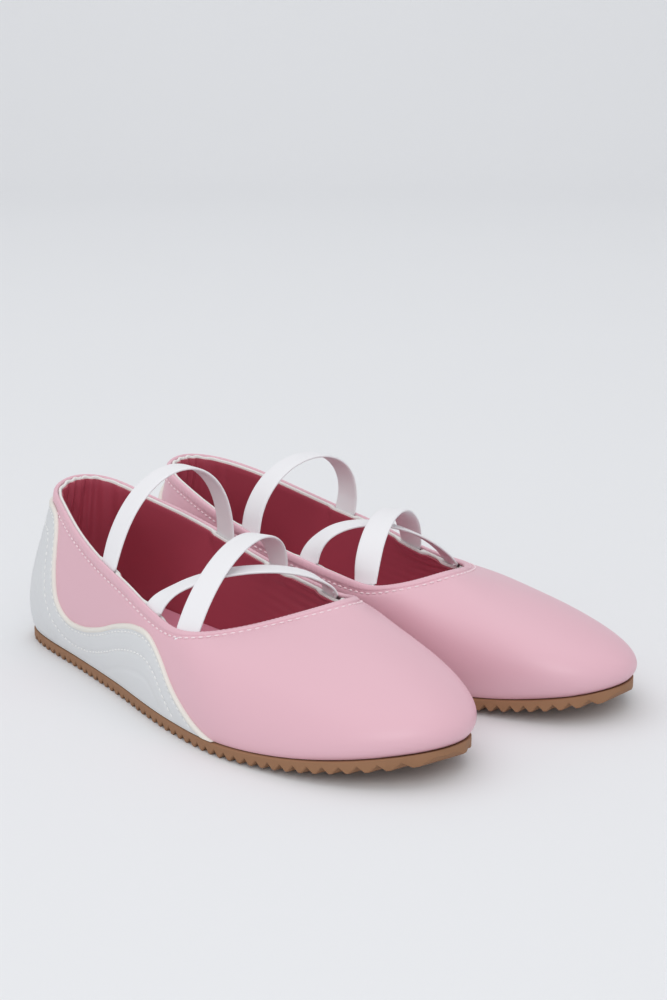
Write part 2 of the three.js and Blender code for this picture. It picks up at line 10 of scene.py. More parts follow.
import bpy
import numpy as np
from bpy.props import FloatProperty, FloatVectorProperty, PointerProperty
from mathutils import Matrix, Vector


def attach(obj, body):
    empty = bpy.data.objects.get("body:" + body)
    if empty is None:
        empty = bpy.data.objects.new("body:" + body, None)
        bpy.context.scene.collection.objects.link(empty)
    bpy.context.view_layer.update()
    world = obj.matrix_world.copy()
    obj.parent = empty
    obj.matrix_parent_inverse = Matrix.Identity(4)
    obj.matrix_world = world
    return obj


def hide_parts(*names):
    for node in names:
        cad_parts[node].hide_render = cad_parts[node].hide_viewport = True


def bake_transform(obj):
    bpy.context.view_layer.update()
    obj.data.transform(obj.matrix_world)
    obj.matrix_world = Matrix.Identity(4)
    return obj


bl_info = {
    "name": "Ballet Flats",
    "version": (1, 0, 0),
    "blender": (4, 5, 0),
    "location": "3D View > Sidebar > Flats",
    "description": "Builds a pair of leather ballet flats with crossed elastic straps",
    "category": "Add Mesh",
}

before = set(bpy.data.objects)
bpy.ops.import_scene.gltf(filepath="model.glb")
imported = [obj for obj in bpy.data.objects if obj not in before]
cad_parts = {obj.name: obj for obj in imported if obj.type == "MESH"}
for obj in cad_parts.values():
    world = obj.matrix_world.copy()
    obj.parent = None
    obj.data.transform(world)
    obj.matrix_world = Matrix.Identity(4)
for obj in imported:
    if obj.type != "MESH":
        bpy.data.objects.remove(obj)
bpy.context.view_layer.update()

# The pair.
SHOE_SPACING = 82.6
TOE_OUT = math.radians(6)
PAIR_SHIFT = 0.032
SHOES = ("right", "left")
OVER_STRAP = {"right": "front", "left": "rear"}

# The sole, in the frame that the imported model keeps.
SOLE_LENGTH = 250.0
OUTSOLE_THICKNESS = 4.5
RIDGE_DEPTH = 2.4
RIDGE_COUNT = 48
RIDGE_LAND = 0.2
SOLE_END_SETBACK = 0.5
TOE_SPRING = 9.0
TOE_SPRING_START = 165.0
FEATHER_SETBACK = 1.5
FEATHER_LEVEL = 4.85
LASTING_MARGIN = 9.0
BOARD_LEVEL = 6.4
SOCK_LEVEL = 11.1
SOCK_THICKNESS = 1.2

# The layers of the upper, as depths below its outer face.
UPPER_THICKNESS = 1.2
STRAP_DEPTH = 2.15
LINING_DEPTH = 3.1
LINING_THICKNESS = 0.8
OVERLAY_THICKNESS = 1.0
REACH_BIAS = 12.0

# The edges.
FOLD_WIDTH = 3.1
TOPLINE_STITCH_DROP = 4.3
PIPING_WIDTH = 2.2
STITCH_ROW_INSETS = (3.2, 10.2)
CREASE_INSET = 17.5
# Where the overlay dips, as (inset from its edge, depth, width): along both stitch rows and the crease.
OVERLAY_DIPS = (
    (STITCH_ROW_INSETS[0], 0.34, 0.8),
    (STITCH_ROW_INSETS[1], 0.34, 1.0),
    (CREASE_INSET, 0.22, 1.1),
)

# The straps.
STRAP_WIDTH = 10.5
STRAP_THICKNESS = 1.2
STRAP_LIFT = 7.25
STRAP_TUCK = 2.6
STRAP_TUCK_NARROWING = 0.3
STRAP_APEX = {
    "right": {"instep": 84.25, "over": 62.0, "under": 53.0},
    "left": {"instep": 78.0, "over": 62.5, "under": 57.0},
}
STRAP_STATIONS = {"instep": (84, 81), "front": (142, 115), "rear": (119.5, 147)}
STRAP_LEANS = {
    "right": {"instep": (12, 0), "over": (18, 3), "under": (8, 3)},
    "left": {"instep": (-12, 4), "over": (9, 3), "under": (17, 6)},
}

# The camera's place.
VIEW_AZIMUTH = math.radians(-44)
VIEW_ELEVATION = math.radians(13.6)
VIEW_DISTANCE = 1.0
VIEW_TARGET = Vector((0.131, 0.119, 0.030))
VIEW_LENS = 73.44

# The last: ribs round the shoe, from the back of the heel by the outer side. Each has a point
# on the sole's edge (across, station), one on the topline (across, station, height), how far
# it leans out and rises as it leaves the sole, and how far it reaches and drops at the topline.
RIBS = [
    ((1, 0), (1, 12, 69), (4.5, 18), (3.5, 21.5)),
    ((-17, 4), (-13, 17.5, 67.3), (6, 18), (4.5, 21)),
    ((-25.5, 22), (-20.5, 32.5, 63.8), (7.5, 17.5), (4, 19)),
    ((-29, 50), (-26.5, 54.5, 57.3), (5, 15), (3, 16.5)),
    ((-32, 76), (-30.3, 79, 50.5), (3, 14), (2, 15)),
    ((-35.5, 101), (-32, 99.5, 45.8), (2, 13), (2, 13.5)),
    ((-40, 127), (-33, 118, 40.5), (1.5, 12.5), (3, 10)),
    ((-43, 152), (-33, 133.5, 37.5), (2, 13.5), (6, 6)),
    ((-43.5, 176), (-30, 145, 37), (2.5, 14), (13, 1.5)),
    ((-40, 197), (-21, 155, 38.8), (3, 13), (20, 0.5)),
    ((-32.5, 219), (-10, 163, 41.6), (6, 12), (27, 2)),
    ((-19, 238), (0, 169, 44.4), (11, 13), (35, 5)),
    ((4, 249.8), (10, 173.5, 46.8), (16, 14), (41, 8)),
    ((22.5, 243), (19, 174, 47.6), (14, 14.5), (38, 10)),
    ((33.5, 224), (28, 168, 45.4), (9, 14.5), (29, 8)),
    ((39, 199), (34.2, 159.5, 43), (4, 14), (18, 5)),
    ((39.5, 175), (36, 151, 41.6), (2.5, 13.5), (10, 5.5)),
    ((36, 150), (36, 140.5, 42), (2.5, 13.5), (4, 8)),
    ((31.2, 126), (34.8, 122, 44), (3.5, 13.5), (2.5, 10.5)),
    ((27.5, 102), (33.5, 102, 47), (4, 14), (2.5, 13)),
    ((26.6, 76), (32, 79.5, 51.5), (4, 15), (2.5, 15)),
    ((27, 50), (28, 55.5, 57), (3.5, 16), (2.5, 17)),
    ((26.5, 22), (21, 31.5, 62.7), (3.5, 17), (3, 20)),
    ((17.5, 4), (13.7, 16.5, 67), (4, 18), (3, 22)),
]
TOE_RIB = 12

# The overlay's upper edge as (side, station, height), from its outer front end round the heel.
OUTER, INNER = 1, -1
OVERLAY_EDGE = [
    (OUTER, 175, 5.0), (OUTER, 170, 6.2), (OUTER, 162, 9.7), (OUTER, 152, 17), (OUTER, 143, 26.5),
    (OUTER, 132, 32), (OUTER, 117, 32.8), (OUTER, 99, 29.8), (OUTER, 81, 24),
    (OUTER, 66, 20.6), (OUTER, 53, 20.8), (OUTER, 44, 26), (OUTER, 38.5, 36),
    (OUTER, 34, 46), (OUTER, 29.5, 54), (OUTER, 23, 59.5), (OUTER, 11, 62),
    (INNER, 1.5, 61), (INNER, 10, 50), (INNER, 24, 35), (INNER, 42, 25.5),
    (INNER, 60, 21.5), (INNER, 78, 22.5), (INNER, 97, 27), (INNER, 114, 30),
    (INNER, 130, 28), (INNER, 142, 19.5), (INNER, 153, 10.5), (INNER, 161, 7), (INNER, 167, 5.0),
]


# ---------------------------------------------------------------------------
# Sizes and colours that a user would change.


def length(name, description, default):
    return FloatProperty(name=name, description=description, default=default, unit="LENGTH", min=0)


def colour(name, description, default):
    return FloatVectorProperty(
        name=name, description=description, default=default, subtype="COLOR", size=3, min=0, max=1
    )


class FlatsSizes(bpy.types.PropertyGroup):
    """Sizes of the stitching, the grain and the weave"""

    topline_pitch: length("Topline stitch pitch", "Step between topline stitches", 0.0031)
    topline_stitch: length("Topline stitch", "Length of a topline stitch", 0.0021)
    overlay_pitch: length("Overlay stitch pitch", "Step between overlay stitches", 0.0029)
    overlay_stitch: length("Overlay stitch", "Length of an overlay stitch", 0.0019)
    thread: length("Thread", "Thickness of the sewing thread", 0.0008)
    pebble: length("Leather pebble", "Width of a pebble of the leather's grain", 0.0018)
    weave: length("Weave pitch", "Step between the ribs of the elastic", 0.0012)


class FlatsColours(bpy.types.PropertyGroup):
    """Colours of the leathers, the elastic and the sole"""

    pink: colour("Upper", "Leather of the upper", (0.77, 0.43, 0.51))
    rose: colour("Lining", "Leather of the lining", (0.97, 0.40, 0.47))
    sock: colour("Sock lining", "Leather of the sock lining", (0.97, 0.52, 0.64))
    white: colour("Overlay", "Leather of the overlay", (0.79, 0.80, 0.80))
    cream: colour("Piping", "Edge of the overlay", (0.84, 0.83, 0.79))
    elastic: colour("Elastic", "Elastic of the straps", (0.80, 0.79, 0.81))
    thread: colour("Thread", "Thread of the topline", (0.93, 0.74, 0.78))
    gum: colour("Sole", "Rubber of the sole", (0.30, 0.145, 0.065))


# ---------------------------------------------------------------------------
# The last.


def toe_rise(station):
    run = np.clip((station - TOE_SPRING_START) / (SOLE_LENGTH - TOE_SPRING_START), 0, 1)
    return TOE_SPRING * run**2


def station_of(points):
    return SOLE_LENGTH / 2 - points[..., 1]


def unit(vectors):
    return vectors / np.linalg.norm(vectors, axis=-1, keepdims=True)


class ClosedSpline:
    """A closed curve through points, with smooth bends, that reaches each point at its knot."""

    def __init__(self, points, knots):
        self.points, self.knots, self.spans = points, knots, np.diff(knots)
        count, spans = len(points), self.spans
        self.slopes = (np.roll(points, -1, 0) - points) / spans[:, None]
        matrix = np.zeros((count, count))
        for i in range(count):
            matrix[i, i - 1] = spans[i - 1]
            matrix[i, i] = 2 * (spans[i - 1] + spans[i])
            matrix[i, (i + 1) % count] = spans[i]
        self.bends = np.linalg.solve(matrix, 6 * (self.slopes - np.roll(self.slopes, 1, 0)))

    def __call__(self, turn):
        turn = np.mod(turn, 1.0)
        i = np.clip(np.searchsorted(self.knots, turn, "right") - 1, 0, len(self.points) - 1)
        after = (i + 1) % len(self.points)
        step = (turn - self.knots[i])[..., None]
        span = self.spans[i][..., None]
        bend, next_bend = self.bends[i], self.bends[after]
        first = self.slopes[i] - span * (2 * bend + next_bend) / 6
        third = (next_bend - bend) / (6 * span)
        return self.points[i] + step * (first + step * (bend / 2 + step * third))


class Last:
    """The shape of the upper's outer face. Turn runs 0 to 1 round the shoe, from the heel by
    the outer side, and climb runs 0 to 1 from the sole to the topline."""

    STEP = 1e-4
    CLIMB_SAMPLES = 200
    EDGE_SAMPLES = 3000

    def __init__(self):
        sole = np.array([[a, SOLE_LENGTH / 2 - s, 0] for (a, s), *_ in RIBS], float)
        head = np.array([[a, SOLE_LENGTH / 2 - s, z] for _, (a, s, z), *_ in RIBS], float)
        middle = (sole + head) / 2
        chords = np.linalg.norm(np.roll(middle, -1, 0) - middle, axis=1)
        self.knots = np.concatenate([[0], np.cumsum(chords)]) / chords.sum()
        self.edge = ClosedSpline(sole, self.knots)
        out = self.outward(self.knots[:-1])
        foot = sole - FEATHER_SETBACK * out
        foot[:, 2] = FEATHER_LEVEL + toe_rise(station_of(foot))
        reach = (foot - head) + REACH_BIAS * out
        reach[:, 2] = 0
        low = np.array([rib[2] for rib in RIBS], float)
        high = np.array([rib[3] for rib in RIBS], float)
        lower = foot + low[:, :1] * out
        lower[:, 2] += low[:, 1]
        upper = head + high[:, :1] * unit(reach)
        upper[:, 2] -= high[:, 1]
        self.rails = [ClosedSpline(points, self.knots) for points in (foot, lower, upper, head)]
        turns = np.linspace(0, 1, self.EDGE_SAMPLES + 1)
        steps = np.linalg.norm(np.diff(self.edge(turns), axis=0), axis=1)
        self.edge_turns = turns
        self.edge_arcs = np.concatenate([[0], np.cumsum(steps)])
        self.girth = self.edge_arcs[-1]

    def outward(self, turn):
        along = unit(self.edge(turn + self.STEP) - self.edge(turn - self.STEP))
        return np.stack([along[..., 1], -along[..., 0], 0 * along[..., 0]], -1)

    def point(self, turn, climb):
        t = np.asarray(climb)[..., None]
        foot, lower, upper, head = [rail(turn) for rail in self.rails]
        s = 1 - t
        return s**3 * foot + 3 * s * s * t * lower + 3 * s * t * t * upper + t**3 * head

    def normal(self, turn, climb):
        low = np.clip(climb - 1e-3, 0, 0.998)
        ahead = self.point(turn + self.STEP, climb) - self.point(turn - self.STEP, climb)
        rising = self.point(turn, low + 2e-3) - self.point(turn, low)
        return unit(np.cross(ahead, rising))

    def wall(self, turn, climb, depth, floor=FEATHER_LEVEL):
        """Points at a depth below the outer face, kept above the level of what they stand on."""
        climb = np.asarray(climb, float)
        turn = np.asarray(turn, float).reshape((-1,) + (1,) * (climb.ndim - 1))
        turn = np.broadcast_to(turn, climb.shape)
        points = self.point(turn, climb) - self.normal(turn, climb) * np.asarray(depth)[..., None]
        points[..., 2] = np.maximum(points[..., 2], floor + toe_rise(station_of(points)))
        return points

    def rib_table(self, turn):
        """For each turn, climbs from the topline down and the lengths of rib above them."""
        climbs = np.linspace(1, 0, self.CLIMB_SAMPLES)
        turns = np.repeat(turn[:, None], len(climbs), 1)
        points = self.point(turns, np.broadcast_to(climbs, turns.shape))
        steps = np.linalg.norm(np.diff(points, axis=1), axis=2)
        return climbs, np.pad(np.cumsum(steps, 1), ((0, 0), (1, 0))), points[..., 2]

    def climb_below(self, turn, drop):
        """The climb at a drop below the topline along the rib; a negative drop goes past it."""
        climbs, lengths, _ = self.rib_table(turn)
        rows = np.shape(drop)[1:] if np.ndim(drop) > 1 else np.shape(drop)
        drop = np.broadcast_to(drop, (len(turn),) + rows)
        found = np.array([np.interp(d, span, climbs) for d, span in zip(drop, lengths)])
        rate = (climbs[0] - climbs[1]) / lengths[:, 1]
        return found - np.minimum(drop, 0) * rate.reshape((-1,) + (1,) * (drop.ndim - 1))

    def drop_of(self, turn, climb):
        """How far below the topline a climb is, along the rib."""
        climbs, lengths, _ = self.rib_table(turn)
        return np.array([np.interp(c, climbs[::-1], span[::-1]) for c, span in zip(climb, lengths)])

    def climb_at(self, turn, height):
        """The climb at a height, where the rib only rises."""
        climbs, _, heights = self.rib_table(turn)
        rising = np.maximum.accumulate(heights[:, ::-1], axis=1)
        return np.array([np.interp(h, row, climbs[::-1]) for h, row in zip(height, rising)])

    def turn_at_arc(self, arc):
        return np.interp(np.mod(arc, self.girth), self.edge_arcs, self.edge_turns)

    def turn_at_station(self, station, side, climb):
        """The turn whose rib stands at a station, at the sole (climb 0) or topline (climb 1)."""
        toe = self.knots[TOE_RIB]
        turns = np.linspace(0, toe if side == OUTER else 1 - toe, 800)
        shown = turns if side == OUTER else 1 - turns
        stations = station_of(self.point(shown, np.full(len(turns), float(climb))))
        found = np.interp(station, np.maximum.accumulate(stations), turns)
        return found if side == OUTER else 1 - found

    def arc_of(self, turn):
        return np.interp(np.mod(turn, 1), self.edge_turns, self.edge_arcs)


last = Last()


def in_world(points, shoe):
    """Points of the right shoe's frame, in metres, where the named shoe stands."""
    c, s = math.cos(TOE_OUT), math.sin(TOE_OUT)
    x = points[..., 0] * c + points[..., 1] * s - SHOE_SPACING / 2
    y = -points[..., 0] * s + points[..., 1] * c + PAIR_SHIFT
    placed = np.stack([x if shoe == "right" else -x, y, points[..., 2]], -1)
    return placed / 1000


# ---------------------------------------------------------------------------
# Meshes.


def make_object(name, mesh):
    piece = bpy.data.objects.new(name, mesh)
    bpy.context.scene.collection.objects.link(piece)
    return piece


def loft(name, sections, closed=False, uv=None, crease=40):
    """A closed solid skinned over sections (count, size, 3), in metres. Each section runs along
    one face and back along the other, so that the ends of an open loft are capped."""
    count, size = sections.shape[:2]
    spans = count if closed else count - 1
    here = np.arange(spans)[:, None] * size
    there = (np.arange(1, spans + 1) % count)[:, None] * size
    j = np.arange(size)[None, :]
    after = (j + 1) % size
    quads = np.stack([here + j, there + j, there + after, here + after], -1).reshape(-1, 4)
    if not closed:
        j = np.arange(size // 2 - 1)
        cap = np.stack([j, j + 1, size - 2 - j, size - 1 - j], -1)
        quads = np.concatenate([quads, cap, cap[:, ::-1] + (count - 1) * size])
    points = sections.reshape(-1, 3)
    a, b, c, d = (points[quads[:, k]] for k in range(4))
    volume = (a * np.cross(b, c)).sum() + (a * np.cross(c, d)).sum()
    if volume < 0:
        quads = quads[:, ::-1]
    mesh = bpy.data.meshes.new(name)
    mesh.from_pydata(points.tolist(), [], quads.tolist())
    if uv is not None:
        layer = mesh.uv_layers.new(name="UVMap")
        corners = uv.reshape(-1, 2)[quads.reshape(-1)]
        layer.data.foreach_set("uv", corners.astype(np.float32).ravel())
    mesh.polygons.foreach_set("use_smooth", [True] * len(mesh.polygons))
    mesh.set_sharp_from_angle(angle=math.radians(crease))
    return make_object(name, mesh)


def two_faced(outside, inside):
    """Sections that run up the outside and back down the inside."""
    return np.concatenate([outside, inside[:, ::-1]], 1)


def wear(piece, material, slot, body, *nodes):
    """Gives a piece its finish, its body and the nodes that it stands for."""
    piece.data.materials.clear()
    piece.data.materials.append(material)
    if body:
        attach(piece, body)
    if nodes:
        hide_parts(*nodes)
    return piece


def bell(distance, width):
    return np.exp(-((distance / width) ** 2))


def ripple(x, y, seed):
    """A smooth uneven wave, about -1 to 1, over two running lengths."""
    waves = np.random.default_rng(seed)
    total = 0 * x
    for _ in range(7):
        turn, phase = waves.uniform(0, 2 * math.pi, 2)
        pace = waves.uniform(0.7, 1.9)
        total = total + np.sin(pace * (x * math.cos(turn) + y * math.sin(turn)) + phase)
    return total / 4


# ---------------------------------------------------------------------------
# Node trees.


class Term:
    """An output of a shader node that adds, scales and compares like a number."""

    def __init__(self, graph, socket):
        self.graph, self.socket = graph, socket

    def maths(self, operation, *values):
        inputs = dict(enumerate(values))
        return self.graph.term("ShaderNodeMath", {"operation": operation}, inputs)

    def __add__(self, other):
        return self.maths("ADD", self, other)

    def __sub__(self, other):
        return self.maths("SUBTRACT", self, other)

    def __rsub__(self, other):
        return self.maths("SUBTRACT", other, self)

    def __mul__(self, other):
        return self.maths("MULTIPLY", self, other)

    def __truediv__(self, other):
        return self.maths("DIVIDE", self, other)

    __radd__ = __add__
    __rmul__ = __mul__

    def wave(self):
        return self.maths("SINE", self)

    def zigzag(self):
        """0 to 1 and back, once for each whole number."""
        swing = self.maths("FRACT", self) - 0.5
        return swing.maths("ABSOLUTE", swing) * 2

    def smooth(self, low, high):
        """0 below low and 1 above high, with a soft step between."""
        return self.graph.term(
            "ShaderNodeMapRange",
            {"interpolation_type": "SMOOTHSTEP"},
            {"Value": self, "From Min": low, "From Max": high},
        )


class Graph:
    """A node tree that is written as calls."""

    def __init__(self, tree):
        self.tree = tree

    def node(self, kind, settings=None, inputs=None):
        node = self.tree.nodes.new(kind)
        for key, value in (settings or {}).items():
            setattr(node, key, value)
        for key, value in (inputs or {}).items():
            source = value.socket if isinstance(value, Term) else value
            if isinstance(source, bpy.types.NodeSocket):
                self.tree.links.new(source, node.inputs[key])
            else:
                node.inputs[key].default_value = source
        return node

    def term(self, kind, settings=None, inputs=None, output=0):
        return Term(self, self.node(kind, settings, inputs).outputs[output])


class Finish(Graph):
    """A material: a principled shader, and what varies over the surface."""

    def __init__(self, name, **constants):
        self.material = bpy.data.materials.new(name)
        self.material.use_nodes = True
        super().__init__(self.material.node_tree)
        self.tree.nodes.clear()
        inputs = {key.replace("_", " "): value for key, value in constants.items()}
        self.shader = self.node("ShaderNodeBsdfPrincipled", {}, inputs)
        self.node("ShaderNodeOutputMaterial", {}, {"Surface": self.shader.outputs[0]})

    def place(self):
        return self.term("ShaderNodeTexCoord", output="Object")

    def uv(self):
        """The two running lengths of the piece's own map, in millimetres."""
        split = self.node("ShaderNodeSeparateXYZ", {}, {0: self.term("ShaderNodeTexCoord", output="UV")})
        return Term(self, split.outputs[0]) * 1000, Term(self, split.outputs[1]) * 1000

    def noise(self, place, scale, detail=2.0):
        return self.term("ShaderNodeTexNoise", {}, {"Vector": place, "Scale": scale, "Detail": detail})

    def cells(self, place, scale):
        """Distance from the edges of a field of uneven cells."""
        settings = {"feature": "DISTANCE_TO_EDGE"}
        return self.term("ShaderNodeTexVoronoi", settings, {"Vector": place, "Scale": scale})

    def wander(self, place, scale, reach):
        """The place, pushed about by a noise, so that a pattern isn't regular."""
        shift = self.term("ShaderNodeTexNoise", {}, {"Vector": place, "Scale": scale}, output="Color")
        centred = self.term("ShaderNodeVectorMath", {"operation": "SUBTRACT"}, {0: shift, 1: (0.5, 0.5, 0.5)})
        moved = self.term("ShaderNodeVectorMath", {"operation": "SCALE"}, {0: centred, "Scale": reach})
        return self.term("ShaderNodeVectorMath", {"operation": "ADD"}, {0: place, 1: moved})

    def plane(self, x, y, z=0.0):
        return self.term("ShaderNodeCombineXYZ", {}, {0: x, 1: y, 2: z})

    def mix(self, first, second, share):
        inputs = {0: share, 6: first, 7: second}
        return self.term("ShaderNodeMix", {"data_type": "RGBA"}, inputs, output=2)

    def cover(self, colour=None, roughness=None):
        for name, value in (("Base Color", colour), ("Roughness", roughness)):
            if value is not None:
                self.tree.links.new(value.socket, self.shader.inputs[name])

    def emboss(self, height, distance, strength=1.0):
        inputs = {"Height": height, "Distance": distance, "Strength": strength}
        bump = self.term("ShaderNodeBump", {}, inputs, output="Normal")
        self.tree.links.new(bump.socket, self.shader.inputs["Normal"])
        return self.material


def tint(colour, share=1.0):
    return tuple(min(1.0, c * share) for c in colour) + (1.0,)


def grained_leather(name, colour, pebble, shine=0.5, depth=0.0013, painted_crease_shade=0.74):
    """Full-grain leather: uneven pebbles parted by fine creases, with pores on them, and painted shade
    darkening the creases.
    """
    finish = Finish(name, Specular_IOR_Level=0.38, Sheen_Weight=0.08, Sheen_Roughness=0.5)
    place = finish.place()
    uneven = finish.wander(place, 420, 0.0011)
    pebbles = finish.cells(uneven, 1 / pebble)
    small = finish.cells(finish.wander(place, 900, 0.0006), 2.1 / pebble)
    pores = finish.noise(place, 4200, 3)
    crown = pebbles.smooth(0.0, 0.32)
    height = crown * 0.75 + small.smooth(0.0, 0.3) * 0.3 + pores * 0.25
    patches = finish.noise(place, 38, 3).smooth(0.3, 0.7)
    base = finish.mix(tint(colour, 0.965), tint(colour, 1.02), patches)
    # Painted shade: darker in the creases between the pebbles.
    with_crease_shade = finish.mix(tint(colour, painted_crease_shade), base, pebbles.smooth(0.0, 0.24))
    worn = finish.noise(place, 160, 2)
    finish.cover(with_crease_shade, (1 - crown) * 0.12 + worn * 0.1 + (shine - 0.05))
    return finish.emboss(height, depth)


def pink_leather(settings):
    return grained_leather("pink_leather", settings.colours.pink, settings.sizes.pebble, 0.46)


def sock_leather(settings):
    pebble = settings.sizes.pebble * 0.7
    return grained_leather("sock_leather", settings.colours.sock, pebble, 0.55, 0.00015, 0.96)


def rose_lining(settings):
    """A thin lining leather in soft wrinkles that run round the foot, with painted shade darkening the
    hollows of the wrinkles in the forefoot and the creases of its grain.
    """
    finish = Finish("rose_lining", Specular_IOR_Level=0.35, Sheen_Weight=0.1, Sheen_Roughness=0.5)
    colour = settings.colours.rose
    place = finish.place()
    along, across = finish.uv()
    bent = finish.noise(finish.plane(along, across), 0.045, 2)
    folds = finish.noise(finish.plane(along * 0.16, across * 0.75 + bent * 5.0), 0.55, 3)
    forefoot = along.smooth(95, 150)
    grain = finish.cells(finish.wander(place, 500, 0.0008), 1150)
    height = folds * forefoot * 3.2 + grain.smooth(0, 0.3) * 0.55
    shade = finish.noise(place, 30, 3).smooth(0.25, 0.75)
    base = finish.mix(tint(colour, 0.93), tint(colour, 1.04), shade)
    # Painted shade: darker in the creases of the grain.
    grain_crease_shaded = finish.mix(tint(colour, 0.86), base, grain.smooth(0, 0.12))
    # Painted shade: darker in the hollows of the wrinkles in the forefoot.
    clear_of_fold_shade = 1 - forefoot * (1 - folds.smooth(0.38, 0.56))
    finish.cover(finish.mix(tint(colour, 0.72), grain_crease_shaded, clear_of_fold_shade), shade * 0.1 + 0.5)
    return finish.emboss(height, 0.0003)


def white_leather(settings):
    pebble = settings.sizes.pebble
    return grained_leather("white_leather", settings.colours.white, pebble, 0.42, 0.00015, 0.97)


def cream_edge(settings):
    pebble = settings.sizes.pebble * 0.8
    return grained_leather("cream_edge", settings.colours.cream, pebble, 0.45, 0.00012, 0.96)


def white_tape(settings):
    """Cotton tape along the lining's edge, with a fine twill."""
    finish = Finish("white_tape", Roughness=0.9, Specular_IOR_Level=0.2)
    along, across = finish.uv()
    twill = ((along * 1.3 + across * 1.3) * 6.283).wave() * 0.5 + 0.5
    fuzz = finish.noise(finish.place(), 2500, 3)
    # Painted shade: the colour follows the twill's height, darker in its hollows, with uneven tone from the
    # fuzz.
    base = finish.mix(tint((0.78, 0.77, 0.76)), tint((0.92, 0.91, 0.90)), twill * 0.5 + fuzz * 0.5)
    finish.cover(base)
    return finish.emboss(twill * 0.6 + fuzz * 0.4, 0.00008)


def white_elastic(settings):
    """Woven elastic: fine ribs across it, zigzagging between its cords."""
    finish = Finish("white_elastic", Specular_IOR_Level=0.25, Sheen_Weight=0.15, Sheen_Roughness=0.4)
    along, across = finish.uv()
    pitch = settings.sizes.weave * 1000
    colour = settings.colours.elastic
    cords = (across / 1.3).zigzag()
    ribs = ((along / pitch + cords * 0.5) * 6.283).wave() * 0.5 + 0.5
    gutters = cords.smooth(0.0, 0.25)
    fuzz = finish.noise(finish.place(), 3000, 3)
    height = ribs * gutters * 0.8 + fuzz * 0.25
    # Painted shade: the colour follows the weave's height, darker in the troughs between the ribs and in the
    # gutters between the cords.
    base = finish.mix(tint(colour, 0.66), tint(colour, 1.06), height)
    finish.cover(base, fuzz * 0.15 + 0.7)
    return finish.emboss(height, 0.0007)


def thread(name, colour):
    finish = Finish(name, Specular_IOR_Level=0.4)
    twist = finish.noise(finish.place(), 3500, 2)
    finish.cover(finish.mix(tint(colour, 0.85), tint(colour, 1.05), twist), twist * 0.2 + 0.5)
    return finish.emboss(twist, 0.00006)


def pink_thread(settings):
    return thread("pink_thread", settings.colours.thread)


def white_thread(settings):
    return thread("white_thread", (0.86, 0.86, 0.85))


def gum_rubber(settings):
    """Gum rubber with a dull skin, in uneven cloudy tones with pale dusty specks."""
    finish = Finish("gum_rubber", Specular_IOR_Level=0.35)
    place = finish.place()
    colour = settings.colours.gum
    clouds = finish.noise(place, 130, 4).smooth(0.3, 0.7)
    specks = finish.noise(place, 1900, 2)
    base = finish.mix(tint(colour, 0.82), tint(colour, 1.2), clouds)
    dusty = finish.mix(base, tint(colour, 1.7), specks.smooth(0.62, 0.78) * 0.5)
    finish.cover(dusty, specks * 0.2 + 0.55)
    return finish.emboss(specks * 0.5 + clouds * 0.5, 0.00012)


def pressed_board(name, colour, scale):
    """Fibreboard, felt or foam, with its fibres and pores."""
    finish = Finish(name, Specular_IOR_Level=0.2)
    fibres = finish.noise(finish.place(), scale, 4)
    finish.cover(finish.mix(tint(colour, 0.75), tint(colour, 1.15), fibres), fibres * 0.2 + 0.75)
    return finish.emboss(fibres, 0.0002)


HIDDEN_FINISHES = {
    "bottom_filler": ("filler_felt", (0.26, 0.25, 0.24), 1400),
    "insole_board": ("insole_fibreboard", (0.48, 0.36, 0.23), 900),
    "cushion_pad": ("insole_foam", (0.68, 0.64, 0.56), 2200),
    "heel_counter": ("stiffener", (0.62, 0.55, 0.46), 1100),
    "toe_puff": ("stiffener", (0.62, 0.55, 0.46), 1100),
    "collar_elastic": ("collar_tape", (0.80, 0.80, 0.82), 2600),
}


def material(make, *arguments):
    """The material of that name, made if there is none. The import already holds plain materials
    named like the record's slots, and for those names it returns the plain ones."""
    name = make.__name__ if not arguments or not isinstance(arguments[0], str) else arguments[0]
    found = bpy.data.materials.get(name)
    return found or make(*(arguments or (bpy.context.scene.flats,)))


class Grower(Graph):
    """A geometry tree with named inputs, that is grown once into a plain mesh."""

    def __init__(self, name, **sockets):
        super().__init__(bpy.data.node_groups.new(name, "GeometryNodeTree"))
        face = self.tree.interface
        face.new_socket("Geometry", in_out="INPUT", socket_type="NodeSocketGeometry")
        for socket, kind in sockets.items():
            face.new_socket(socket, in_out="INPUT", socket_type=kind)
        face.new_socket("Geometry", in_out="OUTPUT", socket_type="NodeSocketGeometry")
        self.given = self.tree.nodes.new("NodeGroupInput").outputs

    def finish(self, geometry):
        """Ends the tree: one plain mesh, smooth, in the material that it is given."""
        plain = self.node("GeometryNodeRealizeInstances", {}, {"Geometry": geometry})
        dressed = self.node(
            "GeometryNodeSetMaterial", {}, {"Geometry": plain.outputs[0], "Material": self.given["Material"]}
        )
        self.node("NodeGroupOutput", {}, {0: dressed.outputs[0]})
        return self.tree


def grow(piece, tree, **values):
    modifier = piece.modifiers.new("grower", "NODES")
    modifier.node_group = tree
    for item in tree.interface.items_tree:
        if item.in_out == "INPUT" and item.name in values:
            modifier[item.identifier] = values[item.name]
    bpy.context.view_layer.update()
    grown = piece.evaluated_get(bpy.context.evaluated_depsgraph_get())
    mesh = bpy.data.meshes.new_from_object(grown)
    piece.modifiers.clear()
    piece.data = mesh
    return piece


